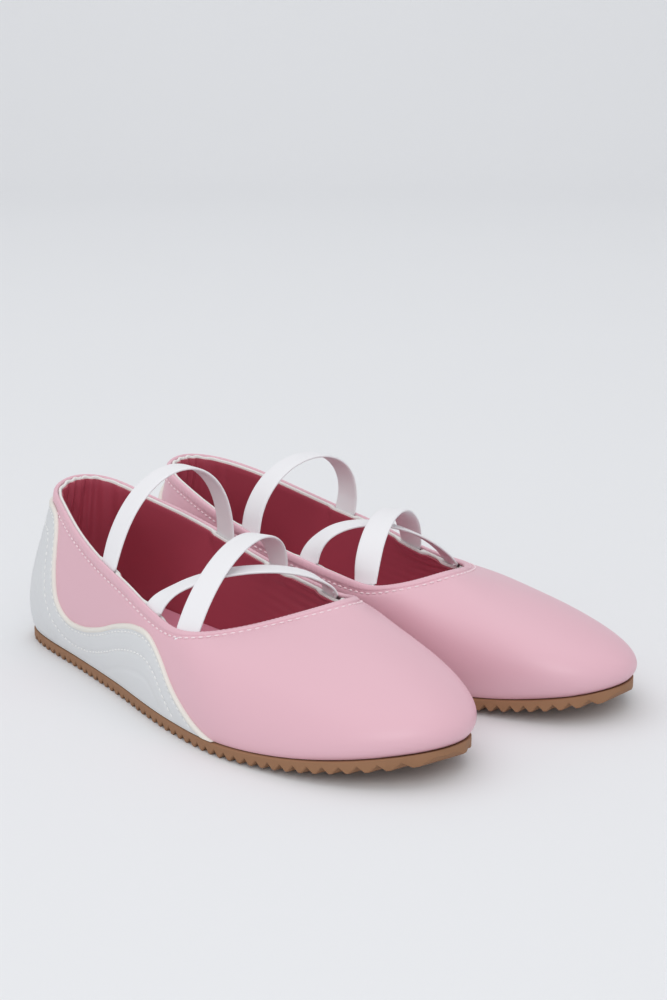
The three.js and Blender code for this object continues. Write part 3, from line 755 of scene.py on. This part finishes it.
def stitch_tree():
    """Sets a stitch at every step along a path."""
    found = bpy.data.node_groups.get("stitches")
    if found:
        return found
    floats = dict.fromkeys(("Pitch", "Stitch", "Thread"), "NodeSocketFloat")
    grower = Grower("stitches", **floats, Material="NodeSocketMaterial")
    given = grower.given
    path = grower.node("GeometryNodeMeshToCurve", {}, {"Mesh": given["Geometry"]})
    steps = grower.node(
        "GeometryNodeResampleCurve", {"mode": "LENGTH"}, {"Curve": path.outputs[0], "Length": given["Pitch"]}
    )
    along = grower.node("GeometryNodeInputTangent")
    facing = grower.node(
        "FunctionNodeAlignRotationToVector", {"axis": "Z"}, {"Vector": along.outputs[0]}
    )
    bead = grower.node("GeometryNodeMeshIcoSphere", {}, {"Radius": 0.5, "Subdivisions": 2})
    size = grower.node(
        "ShaderNodeCombineXYZ", {}, {0: given["Thread"], 1: given["Thread"], 2: given["Stitch"]}
    )
    row = grower.node(
        "GeometryNodeInstanceOnPoints",
        {},
        {
            "Points": steps.outputs[0],
            "Instance": bead.outputs["Mesh"],
            "Rotation": facing.outputs[0],
            "Scale": size.outputs[0],
        },
    )
    smooth = grower.node("GeometryNodeSetShadeSmooth", {}, {"Geometry": row.outputs[0]})
    return grower.finish(smooth.outputs[0])


def ridge_tree():
    """Cuts the sole's underside into triangular ridges that run across it."""
    found = bpy.data.node_groups.get("ridges")
    if found:
        return found
    floats = dict.fromkeys(("Pitch", "Depth", "Land", "Setback"), "NodeSocketFloat")
    grower = Grower("ridges", **floats, Material="NodeSocketMaterial")
    given = {name: Term(grower, grower.given[name]) for name in floats}

    def named(name):
        return grower.term("GeometryNodeInputNamedAttribute", {"data_type": "FLOAT"}, {"Name": name})

    phase = (named("station") - given["Setback"]) / given["Pitch"]
    slope = (phase.zigzag() - given["Land"]) / (1 - given["Land"])
    lift = slope.maths("MAXIMUM", slope, 0.0) * given["Depth"] * named("reach")
    offset = grower.node("ShaderNodeCombineXYZ", {}, {2: lift})
    cut = grower.node(
        "GeometryNodeSetPosition", {}, {"Geometry": grower.given["Geometry"], "Offset": offset.outputs[0]}
    )
    return grower.finish(cut.outputs[0])


def path_object(name, points, closed):
    mesh = bpy.data.meshes.new(name)
    count = len(points)
    edges = [(i, (i + 1) % count) for i in range(count if closed else count - 1)]
    mesh.from_pydata(points.tolist(), edges, [])
    return make_object(name, mesh)


# ---------------------------------------------------------------------------
# The sole and the sock lining.


def sole_sections():
    """Stations where the sole's outline or its ridges turn, and the sole's two sides there."""
    pitch = (SOLE_LENGTH - 2 * SOLE_END_SETBACK) / RIDGE_COUNT
    half = RIDGE_LAND / 2
    phases = np.array([0, 0.13, 0.27, 0.5 - half, 0.5 + half, 0.73, 0.87])
    ridges = SOLE_END_SETBACK + (np.arange(RIDGE_COUNT)[:, None] + phases) * pitch
    ends = np.array([0.015, 0.05, 0.12, 0.22, 0.35])
    stations = np.concatenate([ends, ridges.ravel(), [SOLE_LENGTH - SOLE_END_SETBACK]])
    stations = np.concatenate([stations, SOLE_LENGTH - 0.2 - ends[::-1]])
    edge = last.edge(last.edge_turns)
    toe = np.searchsorted(last.edge_turns, last.knots[TOE_RIB])
    outer, inner = edge[: toe + 1], edge[: toe - 1 : -1]
    sides = [
        np.interp(stations, np.maximum.accumulate(station_of(side)), side[:, 0]) for side in (outer, inner)
    ]
    return stations, sides[0], sides[1]


def outsole(shoe):
    stations, outer, inner = sole_sections()
    shares = np.array([0, 0, 0.12, 0.25, 0.4, 0.6, 0.75, 0.88, 1, 1])
    across = outer[:, None] + (inner - outer)[:, None] * shares
    edge_rise = np.array([0.45] + [0] * 8 + [0.45])
    nudge = np.minimum(0.4, (inner - outer) / 4)[:, None] * np.array([0, 1] + [0] * 6 + [-1, 0])
    y = np.broadcast_to((SOLE_LENGTH / 2 - stations)[:, None], across.shape)
    rise = toe_rise(stations)[:, None]
    bottom = np.stack([across + nudge, y, rise + edge_rise], -1)
    top = np.stack([across + nudge, y, rise + OUTSOLE_THICKNESS - edge_rise * 0.8], -1)
    name = f"{shoe}_ridged_sole"
    piece = loft(name, in_world(two_faced(bottom, top), shoe), crease=28)
    reach = np.concatenate([np.ones(across.shape), np.zeros(across.shape)], 1)
    attributes = {"reach": reach, "station": np.repeat(stations[:, None], reach.shape[1], 1) / 1000}
    for key, values in attributes.items():
        attribute = piece.data.attributes.new(key, "FLOAT", "POINT")
        attribute.data.foreach_set("value", values.astype(np.float32).ravel())
    pitch = (SOLE_LENGTH - 2 * SOLE_END_SETBACK) / RIDGE_COUNT / 1000
    gum = material(gum_rubber)
    grow(
        piece, ridge_tree(), Pitch=pitch, Depth=RIDGE_DEPTH / 1000, Land=RIDGE_LAND,
        Setback=SOLE_END_SETBACK / 1000, Material=gum,
    )
    return wear(piece, gum, "gum_rubber", f"{shoe}_shoe", f"{shoe}_outsole")


def sock(shoe):
    """The padded sock lining, dished under the heel and turned up at its rim."""
    count, rows = 240, 28
    turns = np.arange(count) / count
    level = SOCK_LEVEL + SOCK_THICKNESS
    rim_height = level + toe_rise(station_of(last.edge(turns)))
    climb = last.climb_at(turns, rim_height)
    rim = last.wall(turns, climb, LINING_DEPTH + LINING_THICKNESS + 0.25, 0)
    half = count // 2
    outer, inner = rim[: half + 1], rim[-np.arange(half + 1) % count]
    shares = (1 - np.cos(np.linspace(0, math.pi, rows))) / 2
    top = outer[:, None] + (inner - outer)[:, None] * shares[:, None]
    station = station_of(top)
    edge = np.minimum(shares, 1 - shares)[None, :]
    width = np.linalg.norm(inner - outer, axis=1)[:, None]
    turned_up = 1.3 * bell(edge * width, 2.6)
    heel_dish = -0.8 * bell(np.hypot(top[..., 0], (station - 34) * 0.8), 20)
    top[..., 2] = level - 0.5 + toe_rise(station) + turned_up + heel_dish
    bottom = top.copy()
    bottom[..., 2] = top[..., 2] - SOCK_THICKNESS + 0.2
    piece = loft(f"{shoe}_sock_pad", in_world(two_faced(bottom, top), shoe))
    return wear(piece, material(sock_leather), "sock_leather", f"{shoe}_shoe", f"{shoe}_sock_lining")


# ---------------------------------------------------------------------------
# The upper, its folded edge, and the linings.


def upper(shoe):
    columns, rows = 560, 54
    turns = np.arange(columns) / columns
    top = last.climb_below(turns, FOLD_WIDTH - 0.5)
    climb = np.linspace(0, 1, rows) * top[:, None]
    drop = last.drop_of(turns, climb)
    arc = last.arc_of(turns)[:, None] + 0 * drop
    sewn = 0.4 * bell(drop - TOPLINE_STITCH_DROP, 0.65)
    hand = 0.16 * ripple(arc / 11, drop / 9, 5) * np.clip(drop / 12, 0, 1)
    outside = last.wall(turns, climb, sewn + hand)
    inside = last.wall(turns, climb, UPPER_THICKNESS, FEATHER_LEVEL + UPPER_THICKNESS)
    under = last.edge(turns) - last.outward(turns) * (FEATHER_SETBACK + LASTING_MARGIN)
    under[:, 2] = FEATHER_LEVEL + toe_rise(station_of(under))
    over = under + [0, 0, UPPER_THICKNESS]
    outside = np.concatenate([under[:, None], outside], 1)
    inside = np.concatenate([over[:, None], inside], 1)
    piece = loft(f"{shoe}_upper_leather", in_world(two_faced(outside, inside), shoe), closed=True)
    return wear(piece, material(pink_leather), "pink_leather", f"{shoe}_shoe", f"{shoe}_upper")


def ring_loft(name, shoe, turns, profile, shift=0.0, drop_shift=0.0):
    """A ring swept round the topline: profile is (drop below it, depth) points, once round."""
    drops = profile[:, 0][None, :] + np.zeros((len(turns), 1)) + drop_shift
    depths = profile[:, 1][None, :] + np.zeros((len(turns), 1)) + shift
    sections = last.wall(turns, last.climb_below(turns, drops), depths)
    steps = np.linalg.norm(np.diff(profile, axis=0), axis=1)
    lengths = np.concatenate([[0], np.cumsum(steps)])
    arcs = last.arc_of(turns)[:, None]
    uv = np.stack(np.broadcast_arrays(arcs, lengths[None, :]), -1) / 1000
    return loft(name, in_world(sections, shoe), closed=True, uv=uv, crease=60)


def fold(shoe):
    """The upper's leather folded over the topline."""
    turns = np.arange(640) / 640
    profile = np.array([
        (FOLD_WIDTH, 0.15), (FOLD_WIDTH - 0.1, -0.12), (FOLD_WIDTH - 0.5, -0.32), (2.0, -0.42),
        (1.2, -0.44), (0.5, -0.36), (0.0, -0.16), (-0.3, 0.2), (-0.4, 0.6), (-0.3, 1.0),
        (0.0, 1.3), (0.6, 1.45), (1.6, 1.45), (2.6, 1.3), (2.8, 0.8),
    ])
    arc = last.arc_of(turns)[:, None]
    pulled = 0.07 * np.sin(arc * 2 * math.pi / 3.1)
    piece = ring_loft(f"{shoe}_folded_edge", shoe, turns, profile, pulled)
    return wear(piece, material(pink_leather), "pink_leather", f"{shoe}_shoe", f"{shoe}_topline_binding")


def seat_turns():
    """Where the straps leave the topline, for each strap's outer and inner end."""
    return {
        name: (last.turn_at_station(outer, OUTER, 1), last.turn_at_station(inner, INNER, 1))
        for name, (outer, inner) in STRAP_STATIONS.items()
    }


def bulge(turns, fade=4.5):
    """1 where a strap's end stands between the fold and the lining, and 0 clear of it."""
    at = last.point(turns, np.ones(len(turns)))
    total = np.zeros(len(turns))
    for pair in seat_turns().values():
        for seat in pair:
            away = np.linalg.norm(at - last.point(np.array([seat]), np.array([1.0])), axis=1)
            share = np.clip((STRAP_WIDTH / 2 + fade - away) / fade, 0, 1)
            total = np.maximum(total, share * share * (3 - 2 * share))
    return total


def heel_gather(turns):
    """The gathers that the elastic in the collar draws round the back of the heel."""
    arc = last.arc_of(turns)
    away = np.minimum(arc, last.girth - arc)
    shown = 1 - np.clip((away - 12) / 20, 0, 1)
    return shown * np.sin(arc * 2 * math.pi / 7.4 + 1.9 * np.sin(arc / 6.1)), shown


def lining_edge(shoe):
    turns = np.arange(900) / 900
    profile = np.array([
        (2.4, 1.62), (1.2, 1.58), (0.3, 1.6), (-0.05, 1.75), (-0.2, 2.1), (-0.15, 2.5),
        (0.1, 2.8), (0.7, 2.92), (1.4, 2.9), (2.4, 2.75),
    ])
    gather, shown = heel_gather(turns)
    away = np.array([0.3] * 3 + [0.6] + [1.0] * 6)
    wide, close = bulge(turns, 4.5)[:, None], bulge(turns, 1.0)[:, None]
    shift = 1.25 * np.where(away > 0.9, wide, close) + (0.3 * gather + 0.1 * shown)[:, None]
    piece = ring_loft(
        f"{shoe}_edge_tape", shoe, turns, profile, shift, (0.16 * gather * shown)[:, None]
    )
    return wear(piece, material(white_tape), "white_tape", f"{shoe}_shoe", f"{shoe}_lining_edge")


def lining(shoe, name, start, end, columns):
    """A stretch of the lining between two turns, wrinkled where it isn't pulled tight."""
    rows = 46
    turns = np.linspace(start, end, columns)
    top = last.climb_below(turns, 0.75)
    climb = np.linspace(0, 1, rows) * top[:, None]
    drop = last.drop_of(turns, climb)
    arc = last.arc_of(turns)[:, None] + 0 * drop
    station = station_of(last.point(turns, np.zeros(columns)))[:, None]
    gather, _ = heel_gather(turns)
    puckers = 0.6 * gather[:, None] * np.clip(1.25 - drop / 34, 0, 1)
    forefoot = np.clip((station - 95) / 50, 0, 1)
    creases = forefoot * 0.22 * np.sin(drop * 2 * math.pi / 4.2 + 2.6 * ripple(arc / 16, drop / 10, 3))
    waves = 0.35 * ripple(arc / 13, drop / 8, 11) * np.clip(drop / 8, 0, 1)
    stand = 1.25 * bulge(turns)[:, None] * np.clip(1 - drop / 9, 0, 1)
    rolled = -0.35 * bell(drop - 0.75, 0.8)
    face = LINING_DEPTH + LINING_THICKNESS + puckers + creases + waves + stand + rolled
    outside = last.wall(turns, climb, LINING_DEPTH - 0.1 + stand, BOARD_LEVEL)
    inside = last.wall(turns, climb, face, BOARD_LEVEL)
    lengths = np.concatenate([drop, drop[:, ::-1]], 1)
    arcs = np.concatenate([station + 0 * drop] * 2, 1)
    uv = np.stack([arcs, lengths], -1) / 1000
    piece = loft(f"{shoe}_{name}_leather", in_world(two_faced(outside, inside), shoe), uv=uv)
    return wear(piece, material(rose_lining), "rose_lining", f"{shoe}_shoe", f"{shoe}_{name}")


def linings(shoe):
    outer = last.turn_at_station(160, OUTER, 1)
    inner = last.turn_at_station(153, INNER, 1)
    lining(shoe, "vamp_lining", outer, inner, 240)
    lining(shoe, "quarter_lining", inner - 1, outer, 520)


# ---------------------------------------------------------------------------
# The overlay.


def smooth_path(points, count):
    """Even steps along a smooth open curve through points."""
    points = np.asarray(points, float)
    ends = [2 * points[0] - points[1], *points, 2 * points[-1] - points[-2]]
    run = []
    for p0, p1, p2, p3 in zip(ends, ends[1:], ends[2:], ends[3:]):
        gaps = [max(np.linalg.norm(b - a) ** 0.5, 1e-6) for a, b in ((p0, p1), (p1, p2), (p2, p3))]
        leave = (p1 - p0) / gaps[0] - (p2 - p0) / (gaps[0] + gaps[1]) + (p2 - p1) / gaps[1]
        arrive = (p2 - p1) / gaps[1] - (p3 - p1) / (gaps[1] + gaps[2]) + (p3 - p2) / gaps[2]
        leave, arrive = leave * gaps[1], arrive * gaps[1]
        t = np.linspace(0, 1, 40, endpoint=False)[:, None]
        run.append(
            p1 + leave * t + (3 * (p2 - p1) - 2 * leave - arrive) * t**2
            + (2 * (p1 - p2) + leave + arrive) * t**3
        )
    run = np.concatenate([*run, points[-1:]])
    lengths = np.concatenate([[0], np.cumsum(np.linalg.norm(np.diff(run, axis=0), axis=1))])
    wanted = np.linspace(0, lengths[-1], count)
    return np.stack([np.interp(wanted, lengths, run[:, k]) for k in range(run.shape[1])], -1)


def overlay_edge(count):
    """The edge as (distance round the sole, height), and its direction."""
    points = []
    for side, station, height in OVERLAY_EDGE:
        arc = last.arc_of(last.turn_at_station(station, side, 0))
        points.append((arc if side == OUTER else arc - last.girth, height))
    path = smooth_path(points, count)
    return path, unit(np.gradient(path, axis=0))


def inset_path(inset, count=900):
    """A line that keeps a distance inside the overlay's edge, above the sole."""
    path, along = overlay_edge(count)
    moved = path + np.stack([-along[:, 1], along[:, 0]], -1) * inset
    gaps = np.linalg.norm(moved[:, None] - path[None, ::3], axis=2).min(1)
    foot = last.point(last.turn_at_arc(moved[:, 0]), np.zeros(count))[:, 2]
    kept = moved[(gaps > inset * 0.97) & (moved[:, 1] > foot + 2.2)]
    for _ in range(6):
        kept[1:-1] = (kept[:-2] + kept[1:-1] * 2 + kept[2:]) / 4
    return kept


def on_wall(path, depth):
    """Points of the wall at (distance round the sole, height) pairs."""
    turns = last.turn_at_arc(path[..., 0].ravel())
    climb = last.climb_at(turns, path[..., 1].ravel())
    depths = np.broadcast_to(depth, path.shape[:-1]).ravel()
    return last.wall(turns, climb, depths).reshape(path.shape[:-1] + (3,))


def overlay(shoe):
    columns, rows = 520, 44
    path, along = overlay_edge(columns)
    edge = path + np.stack([-along[:, 1], along[:, 0]], -1) * (PIPING_WIDTH * 0.5)
    foot = last.point(last.turn_at_arc(edge[:, 0]), np.zeros(columns))[:, 2]
    shares = np.linspace(0, 1, rows) ** 0.9
    grid = np.stack([
        np.broadcast_to(edge[:, :1], (columns, rows)),
        foot[:, None] + (edge[:, 1] - foot)[:, None] * shares,
    ], -1)
    dips = np.zeros((columns, rows))
    for inset, depth, width in OVERLAY_DIPS:
        line = inset_path(inset)[::3]
        gaps = np.sqrt(((grid[:, :, None] - line) ** 2).sum(3).min(2))
        dips = np.maximum(dips, depth * bell(gaps, width))
    outside = on_wall(grid, dips - OVERLAY_THICKNESS)
    inside = on_wall(grid, 0.05)
    piece = loft(f"{shoe}_heel_overlay_leather", in_world(two_faced(outside, inside), shoe))
    return wear(piece, material(white_leather), "white_leather", f"{shoe}_shoe", f"{shoe}_heel_overlay")


def piping(shoe):
    path, along = overlay_edge(700)
    inward = np.stack([-along[:, 1], along[:, 0]], -1)
    profile = np.array([
        (0, 0.05), (0.02, -0.5), (0.25, -0.95), (0.7, -1.28), (1.2, -1.36), (1.7, -1.25),
        (PIPING_WIDTH, -0.85), (PIPING_WIDTH, 0.05),
    ])
    rows = [on_wall(path + inward * inset, depth) for inset, depth in profile]
    piece = loft(f"{shoe}_overlay_edge", in_world(np.stack(rows, 1), shoe), crease=70)
    return wear(piece, material(cream_edge), "cream_edge", f"{shoe}_shoe", f"{shoe}_overlay_piping")


# ---------------------------------------------------------------------------
# The stitching.


def sew(shoe, name, points, closed, thread_finish, pitch, stitch, slot):
    sizes = bpy.context.scene.flats.sizes
    row = path_object(f"{shoe}_{name}", in_world(points, shoe), closed)
    grow(row, stitch_tree(), Pitch=pitch, Stitch=stitch, Thread=sizes.thread, Material=thread_finish)
    return wear(row, thread_finish, slot, f"{shoe}_shoe")


def topline_stitches(shoe):
    sizes = bpy.context.scene.flats.sizes
    turns = np.arange(900) / 900
    drops = np.full((900, 1), TOPLINE_STITCH_DROP)
    line = last.wall(turns, last.climb_below(turns, drops), 0.12)[:, 0]
    pitch, stitch = sizes.topline_pitch, sizes.topline_stitch
    sew(shoe, "topline_stitches", line, True, material(pink_thread), pitch, stitch, "pink_leather")


def overlay_stitches(shoe):
    sizes = bpy.context.scene.flats.sizes
    for number, inset in enumerate(STITCH_ROW_INSETS, 1):
        line = on_wall(inset_path(inset), 0.28 - OVERLAY_THICKNESS)
        pitch, stitch = sizes.overlay_pitch, sizes.overlay_stitch
        name = f"overlay_stitches_{number}"
        sew(shoe, name, line, False, material(white_thread), pitch, stitch, "white_leather")


# ---------------------------------------------------------------------------
# The straps.


def bezier(points, t):
    a, b, c, d = points
    s = 1 - t
    return s**3 * a + 3 * s * s * t * b + 3 * s * t * t * c + t**3 * d


def strap_frame(stations, apex, leans):
    """The strap's middle line, and the way its width lies, from seat to seat."""
    seats = np.array([last.turn_at_station(s, side, 1) for s, side in zip(stations, (OUTER, INNER))])
    top = last.wall(seats, np.ones(2), STRAP_DEPTH)
    tucked = last.wall(seats, last.climb_below(seats, np.array([STRAP_TUCK])).ravel(), STRAP_DEPTH)
    half_tucked = last.wall(seats, last.climb_below(seats, np.array([STRAP_TUCK / 2])).ravel(), STRAP_DEPTH)
    start, end = top
    across = unit((end - start) * [1, 1, 0])
    rise = np.array([0, 0, (apex - (start[2] + end[2]) / 2) / 0.75])
    controls = (start, start + rise + across * leans[0], end + rise - across * leans[1], end)
    arch = bezier(controls, np.linspace(0.0, 1, 15)[:, None])
    knots = [tucked[0], half_tucked[0], *arch, half_tucked[1], tucked[1]]
    line = smooth_path(knots, 220)
    sideways = np.array([-across[1], across[0], 0])
    ahead = last.point(seats + 1e-3, np.ones(2)) - last.point(seats - 1e-3, np.ones(2))
    ahead = unit(ahead) * np.sign((ahead * sideways).sum(1))[:, None]
    lengths = np.concatenate([[0], np.cumsum(np.linalg.norm(np.diff(line, axis=0), axis=1))])
    twist = STRAP_TUCK + 14
    shares = [np.clip(1 - run / twist, 0, 1) for run in (lengths, lengths[-1] - lengths)]
    first, second = [(s * s * (3 - 2 * s))[:, None] for s in shares]
    wide = unit(sideways * (1 - first - second) + ahead[0] * first + ahead[1] * second)
    along = unit(np.gradient(line, axis=0))
    wide = unit(wide - along * (wide * along).sum(1)[:, None])
    return line, wide, np.cross(along, wide), lengths, top[:, 2]


def strap(shoe, role):
    name = OVER_STRAP[shoe] if role == "over" else role
    if role == "under":
        name = "rear" if OVER_STRAP[shoe] == "front" else "front"
    line, wide, thick, lengths, seat_heights = strap_frame(
        STRAP_STATIONS[name], STRAP_APEX[shoe][role], STRAP_LEANS[shoe][role]
    )
    shares = np.array([-1, -0.975, -0.92, -0.8, -0.55, -0.25, 0, 0.25, 0.55, 0.8, 0.92, 0.975, 1])
    half = STRAP_THICKNESS / 2 * np.array([0.25, 0.6, 0.82, 0.95, 1, 1, 1, 1, 1, 0.95, 0.82, 0.6, 0.25])
    buried = np.clip(1 - np.minimum(lengths, lengths[-1] - lengths) / STRAP_TUCK, 0, 1)
    half_widths = STRAP_WIDTH / 2 * (1 - STRAP_TUCK_NARROWING * buried)
    across = wide[:, None] * (half_widths[:, None] * shares)[:, :, None]
    outer = line[:, None] + across + thick[:, None] * half[:, None]
    inner = line[:, None] + across - thick[:, None] * half[:, None]
    widths = np.broadcast_to(shares * STRAP_WIDTH / 2, (len(line), len(shares)))
    runs = np.broadcast_to(lengths[:, None], widths.shape)
    side = np.stack([runs, widths], -1) / 1000
    uv = np.concatenate([side, side[:, ::-1]], 1)
    piece = loft(f"{shoe}_{role}_elastic", in_world(two_faced(outer, inner), shoe), uv=uv, crease=75)
    tabs = [f"{shoe}_{name}_tab_{end}" for end in ("outer", "inner")]
    wear(piece, material(white_elastic), "white_elastic", None, f"{shoe}_{role}_strap", *tabs)
    low = (seat_heights.max() + 0.8) / 1000
    high = (seat_heights.max() + STRAP_LIFT + 1.5) / 1000
    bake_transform(piece)
    return piece


# ---------------------------------------------------------------------------
# The stage.


def floor_and_backdrop():
    """A pale sweep: a floor that curves up into a wall far behind."""
    back, radius, width = 2.2, 1.2, 9.0
    angles = np.linspace(0, math.pi / 2, 24)
    bend = [(back + radius * math.sin(a), radius * (1 - math.cos(a))) for a in angles]
    profile = [(-3.0, 0.0), (0.0, 0.0), *bend, (back + radius, 6.0)]
    heading = VIEW_AZIMUTH
    away = Vector((-math.sin(heading), math.cos(heading), 0))
    side = Vector((math.cos(heading), math.sin(heading), 0))
    reaches = (-width / 2, width / 2)
    points = [away * run + side * x + Vector((0, 0, z)) for run, z in profile for x in reaches]
    quads = [(2 * i, 2 * i + 1, 2 * i + 3, 2 * i + 2) for i in range(len(profile) - 1)]
    mesh = bpy.data.meshes.new("sweep")
    mesh.from_pydata([tuple(p) for p in points], [], quads)
    mesh.polygons.foreach_set("use_smooth", [True] * len(quads))
    sweep = make_object("sweep", mesh)
    finish = Finish("sweep_paper", Roughness=0.9, Specular_IOR_Level=0.1)
    paper = finish.noise(finish.place(), 3, 2)
    finish.cover(finish.mix((0.82, 0.825, 0.84, 1), (0.83, 0.835, 0.85, 1), paper))
    mesh.materials.append(finish.material)


def soft_light(name, place, aim, size, power, colour=(1, 1, 1)):
    data = bpy.data.lights.new(name, "AREA")
    data.shape, data.size, data.energy, data.color = "DISK", size, power, colour
    lamp = bpy.data.objects.new(name, data)
    lamp.location = place
    lamp.rotation_euler = (Vector(aim) - Vector(place)).to_track_quat("-Z", "Y").to_euler()
    bpy.context.scene.collection.objects.link(lamp)


def camera():
    data = bpy.data.cameras.new("camera")
    data.lens, data.sensor_width = VIEW_LENS, 36
    data.clip_start, data.clip_end = 0.05, 40
    eye = bpy.data.objects.new("camera", data)
    e, a = VIEW_ELEVATION, VIEW_AZIMUTH
    back = Vector((math.sin(a) * math.cos(e), -math.cos(a) * math.cos(e), math.sin(e)))
    eye.location = VIEW_TARGET + back * VIEW_DISTANCE
    eye.rotation_euler = (-back).to_track_quat("-Z", "Y").to_euler()
    bpy.context.scene.collection.objects.link(eye)
    bpy.context.scene.camera = eye


# ---------------------------------------------------------------------------
# Operators, in the order that they are called.


class FLATS_OT_stage(bpy.types.Operator):
    """Sets the camera, the lights and a pale sweep under the shoes"""

    bl_idname = "flats.stage"
    bl_label = "Stage"

    def execute(self, context):
        camera()
        floor_and_backdrop()
        soft_light("overhead", (0.0, 0.3, 1.9), (0, 0, 0), 2.6, 8)
        soft_light("front_fill", (-1.4, -1.3, 1.3), (0, 0, 0.03), 1.6, 12)
        soft_light("backdrop_wash", (1.3, 1.35, 2.4), (2.35, 2.45, 0.9), 2.0, 6)
        world = bpy.data.worlds.new("studio")
        world.use_nodes = True
        background = world.node_tree.nodes["Background"]
        background.inputs["Color"].default_value = (0.965, 0.98, 1.0, 1)
        background.inputs["Strength"].default_value = 0.73
        context.scene.world = world
        context.scene.view_settings.view_transform = "Standard"
        return {"FINISHED"}


class FLATS_OT_soles(bpy.types.Operator):
    """Makes the ridged outsoles and the padded sock linings"""

    bl_idname = "flats.soles"
    bl_label = "Soles"

    def execute(self, context):
        for shoe in SHOES:
            outsole(shoe)
            sock(shoe)
        return {"FINISHED"}


class FLATS_OT_uppers(bpy.types.Operator):
    """Makes the leather uppers and the fold along their topline"""

    bl_idname = "flats.uppers"
    bl_label = "Uppers"

    def execute(self, context):
        for shoe in SHOES:
            upper(shoe)
            fold(shoe)
        return {"FINISHED"}


class FLATS_OT_linings(bpy.types.Operator):
    """Makes the linings and the white tape along their edge"""

    bl_idname = "flats.linings"
    bl_label = "Linings"

    def execute(self, context):
        for shoe in SHOES:
            linings(shoe)
            lining_edge(shoe)
        return {"FINISHED"}


class FLATS_OT_overlays(bpy.types.Operator):
    """Makes the wavy overlays round the heels and their raised edges"""

    bl_idname = "flats.overlays"
    bl_label = "Overlays"

    def execute(self, context):
        for shoe in SHOES:
            overlay(shoe)
            piping(shoe)
        return {"FINISHED"}


class FLATS_OT_straps(bpy.types.Operator):
    """Makes the elastic straps, from their seats inside the topline"""

    bl_idname = "flats.straps"
    bl_label = "Straps"

    def execute(self, context):
        for shoe in SHOES:
            for role in STRAP_APEX[shoe]:
                strap(shoe, role)
        return {"FINISHED"}


class FLATS_OT_stitching(bpy.types.Operator):
    """Sews the rows of stitches along the toplines and the overlays"""

    bl_idname = "flats.stitching"
    bl_label = "Stitching"

    def execute(self, context):
        for shoe in SHOES:
            topline_stitches(shoe)
            overlay_stitches(shoe)
        return {"FINISHED"}


class FLATS_OT_inner_parts(bpy.types.Operator):
    """Gives the parts inside the shoes their boards, felts and foams"""

    bl_idname = "flats.inner_parts"
    bl_label = "Inner parts"

    def execute(self, context):
        for shoe in SHOES:
            for part, recipe in HIDDEN_FINISHES.items():
                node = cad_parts[f"{shoe}_{part}"]
                node.data.materials.clear()
                node.data.materials.append(material(pressed_board, *recipe))
        return {"FINISHED"}


OPERATORS = (
    FLATS_OT_stage,
    FLATS_OT_soles,
    FLATS_OT_uppers,
    FLATS_OT_linings,
    FLATS_OT_overlays,
    FLATS_OT_straps,
    FLATS_OT_stitching,
    FLATS_OT_inner_parts,
)


class Flats(bpy.types.PropertyGroup):
    """Everything that can be set about the pair"""

    sizes: PointerProperty(type=FlatsSizes)
    colours: PointerProperty(type=FlatsColours)


class FLATS_PT_panel(bpy.types.Panel):
    """Lists the steps that build the pair"""

    bl_idname = "FLATS_PT_panel"
    bl_label = "Ballet Flats"
    bl_space_type = "VIEW_3D"
    bl_region_type = "UI"
    bl_category = "Flats"

    def draw(self, context):
        for group in (context.scene.flats.sizes, context.scene.flats.colours):
            for name in group.__annotations__:
                self.layout.prop(group, name)
        for operator in OPERATORS:
            self.layout.operator(operator.bl_idname)


CLASSES = (FlatsSizes, FlatsColours, Flats, *OPERATORS, FLATS_PT_panel)


def register():
    for each in CLASSES:
        bpy.utils.register_class(each)
    bpy.types.Scene.flats = PointerProperty(type=Flats)


def unregister():
    del bpy.types.Scene.flats
    for each in reversed(CLASSES):
        bpy.utils.unregister_class(each)


def main():
    register()
    for operator in OPERATORS:
        group, name = operator.bl_idname.split(".")
        getattr(getattr(bpy.ops, group), name)()


if __name__ == "__main__":
    main()
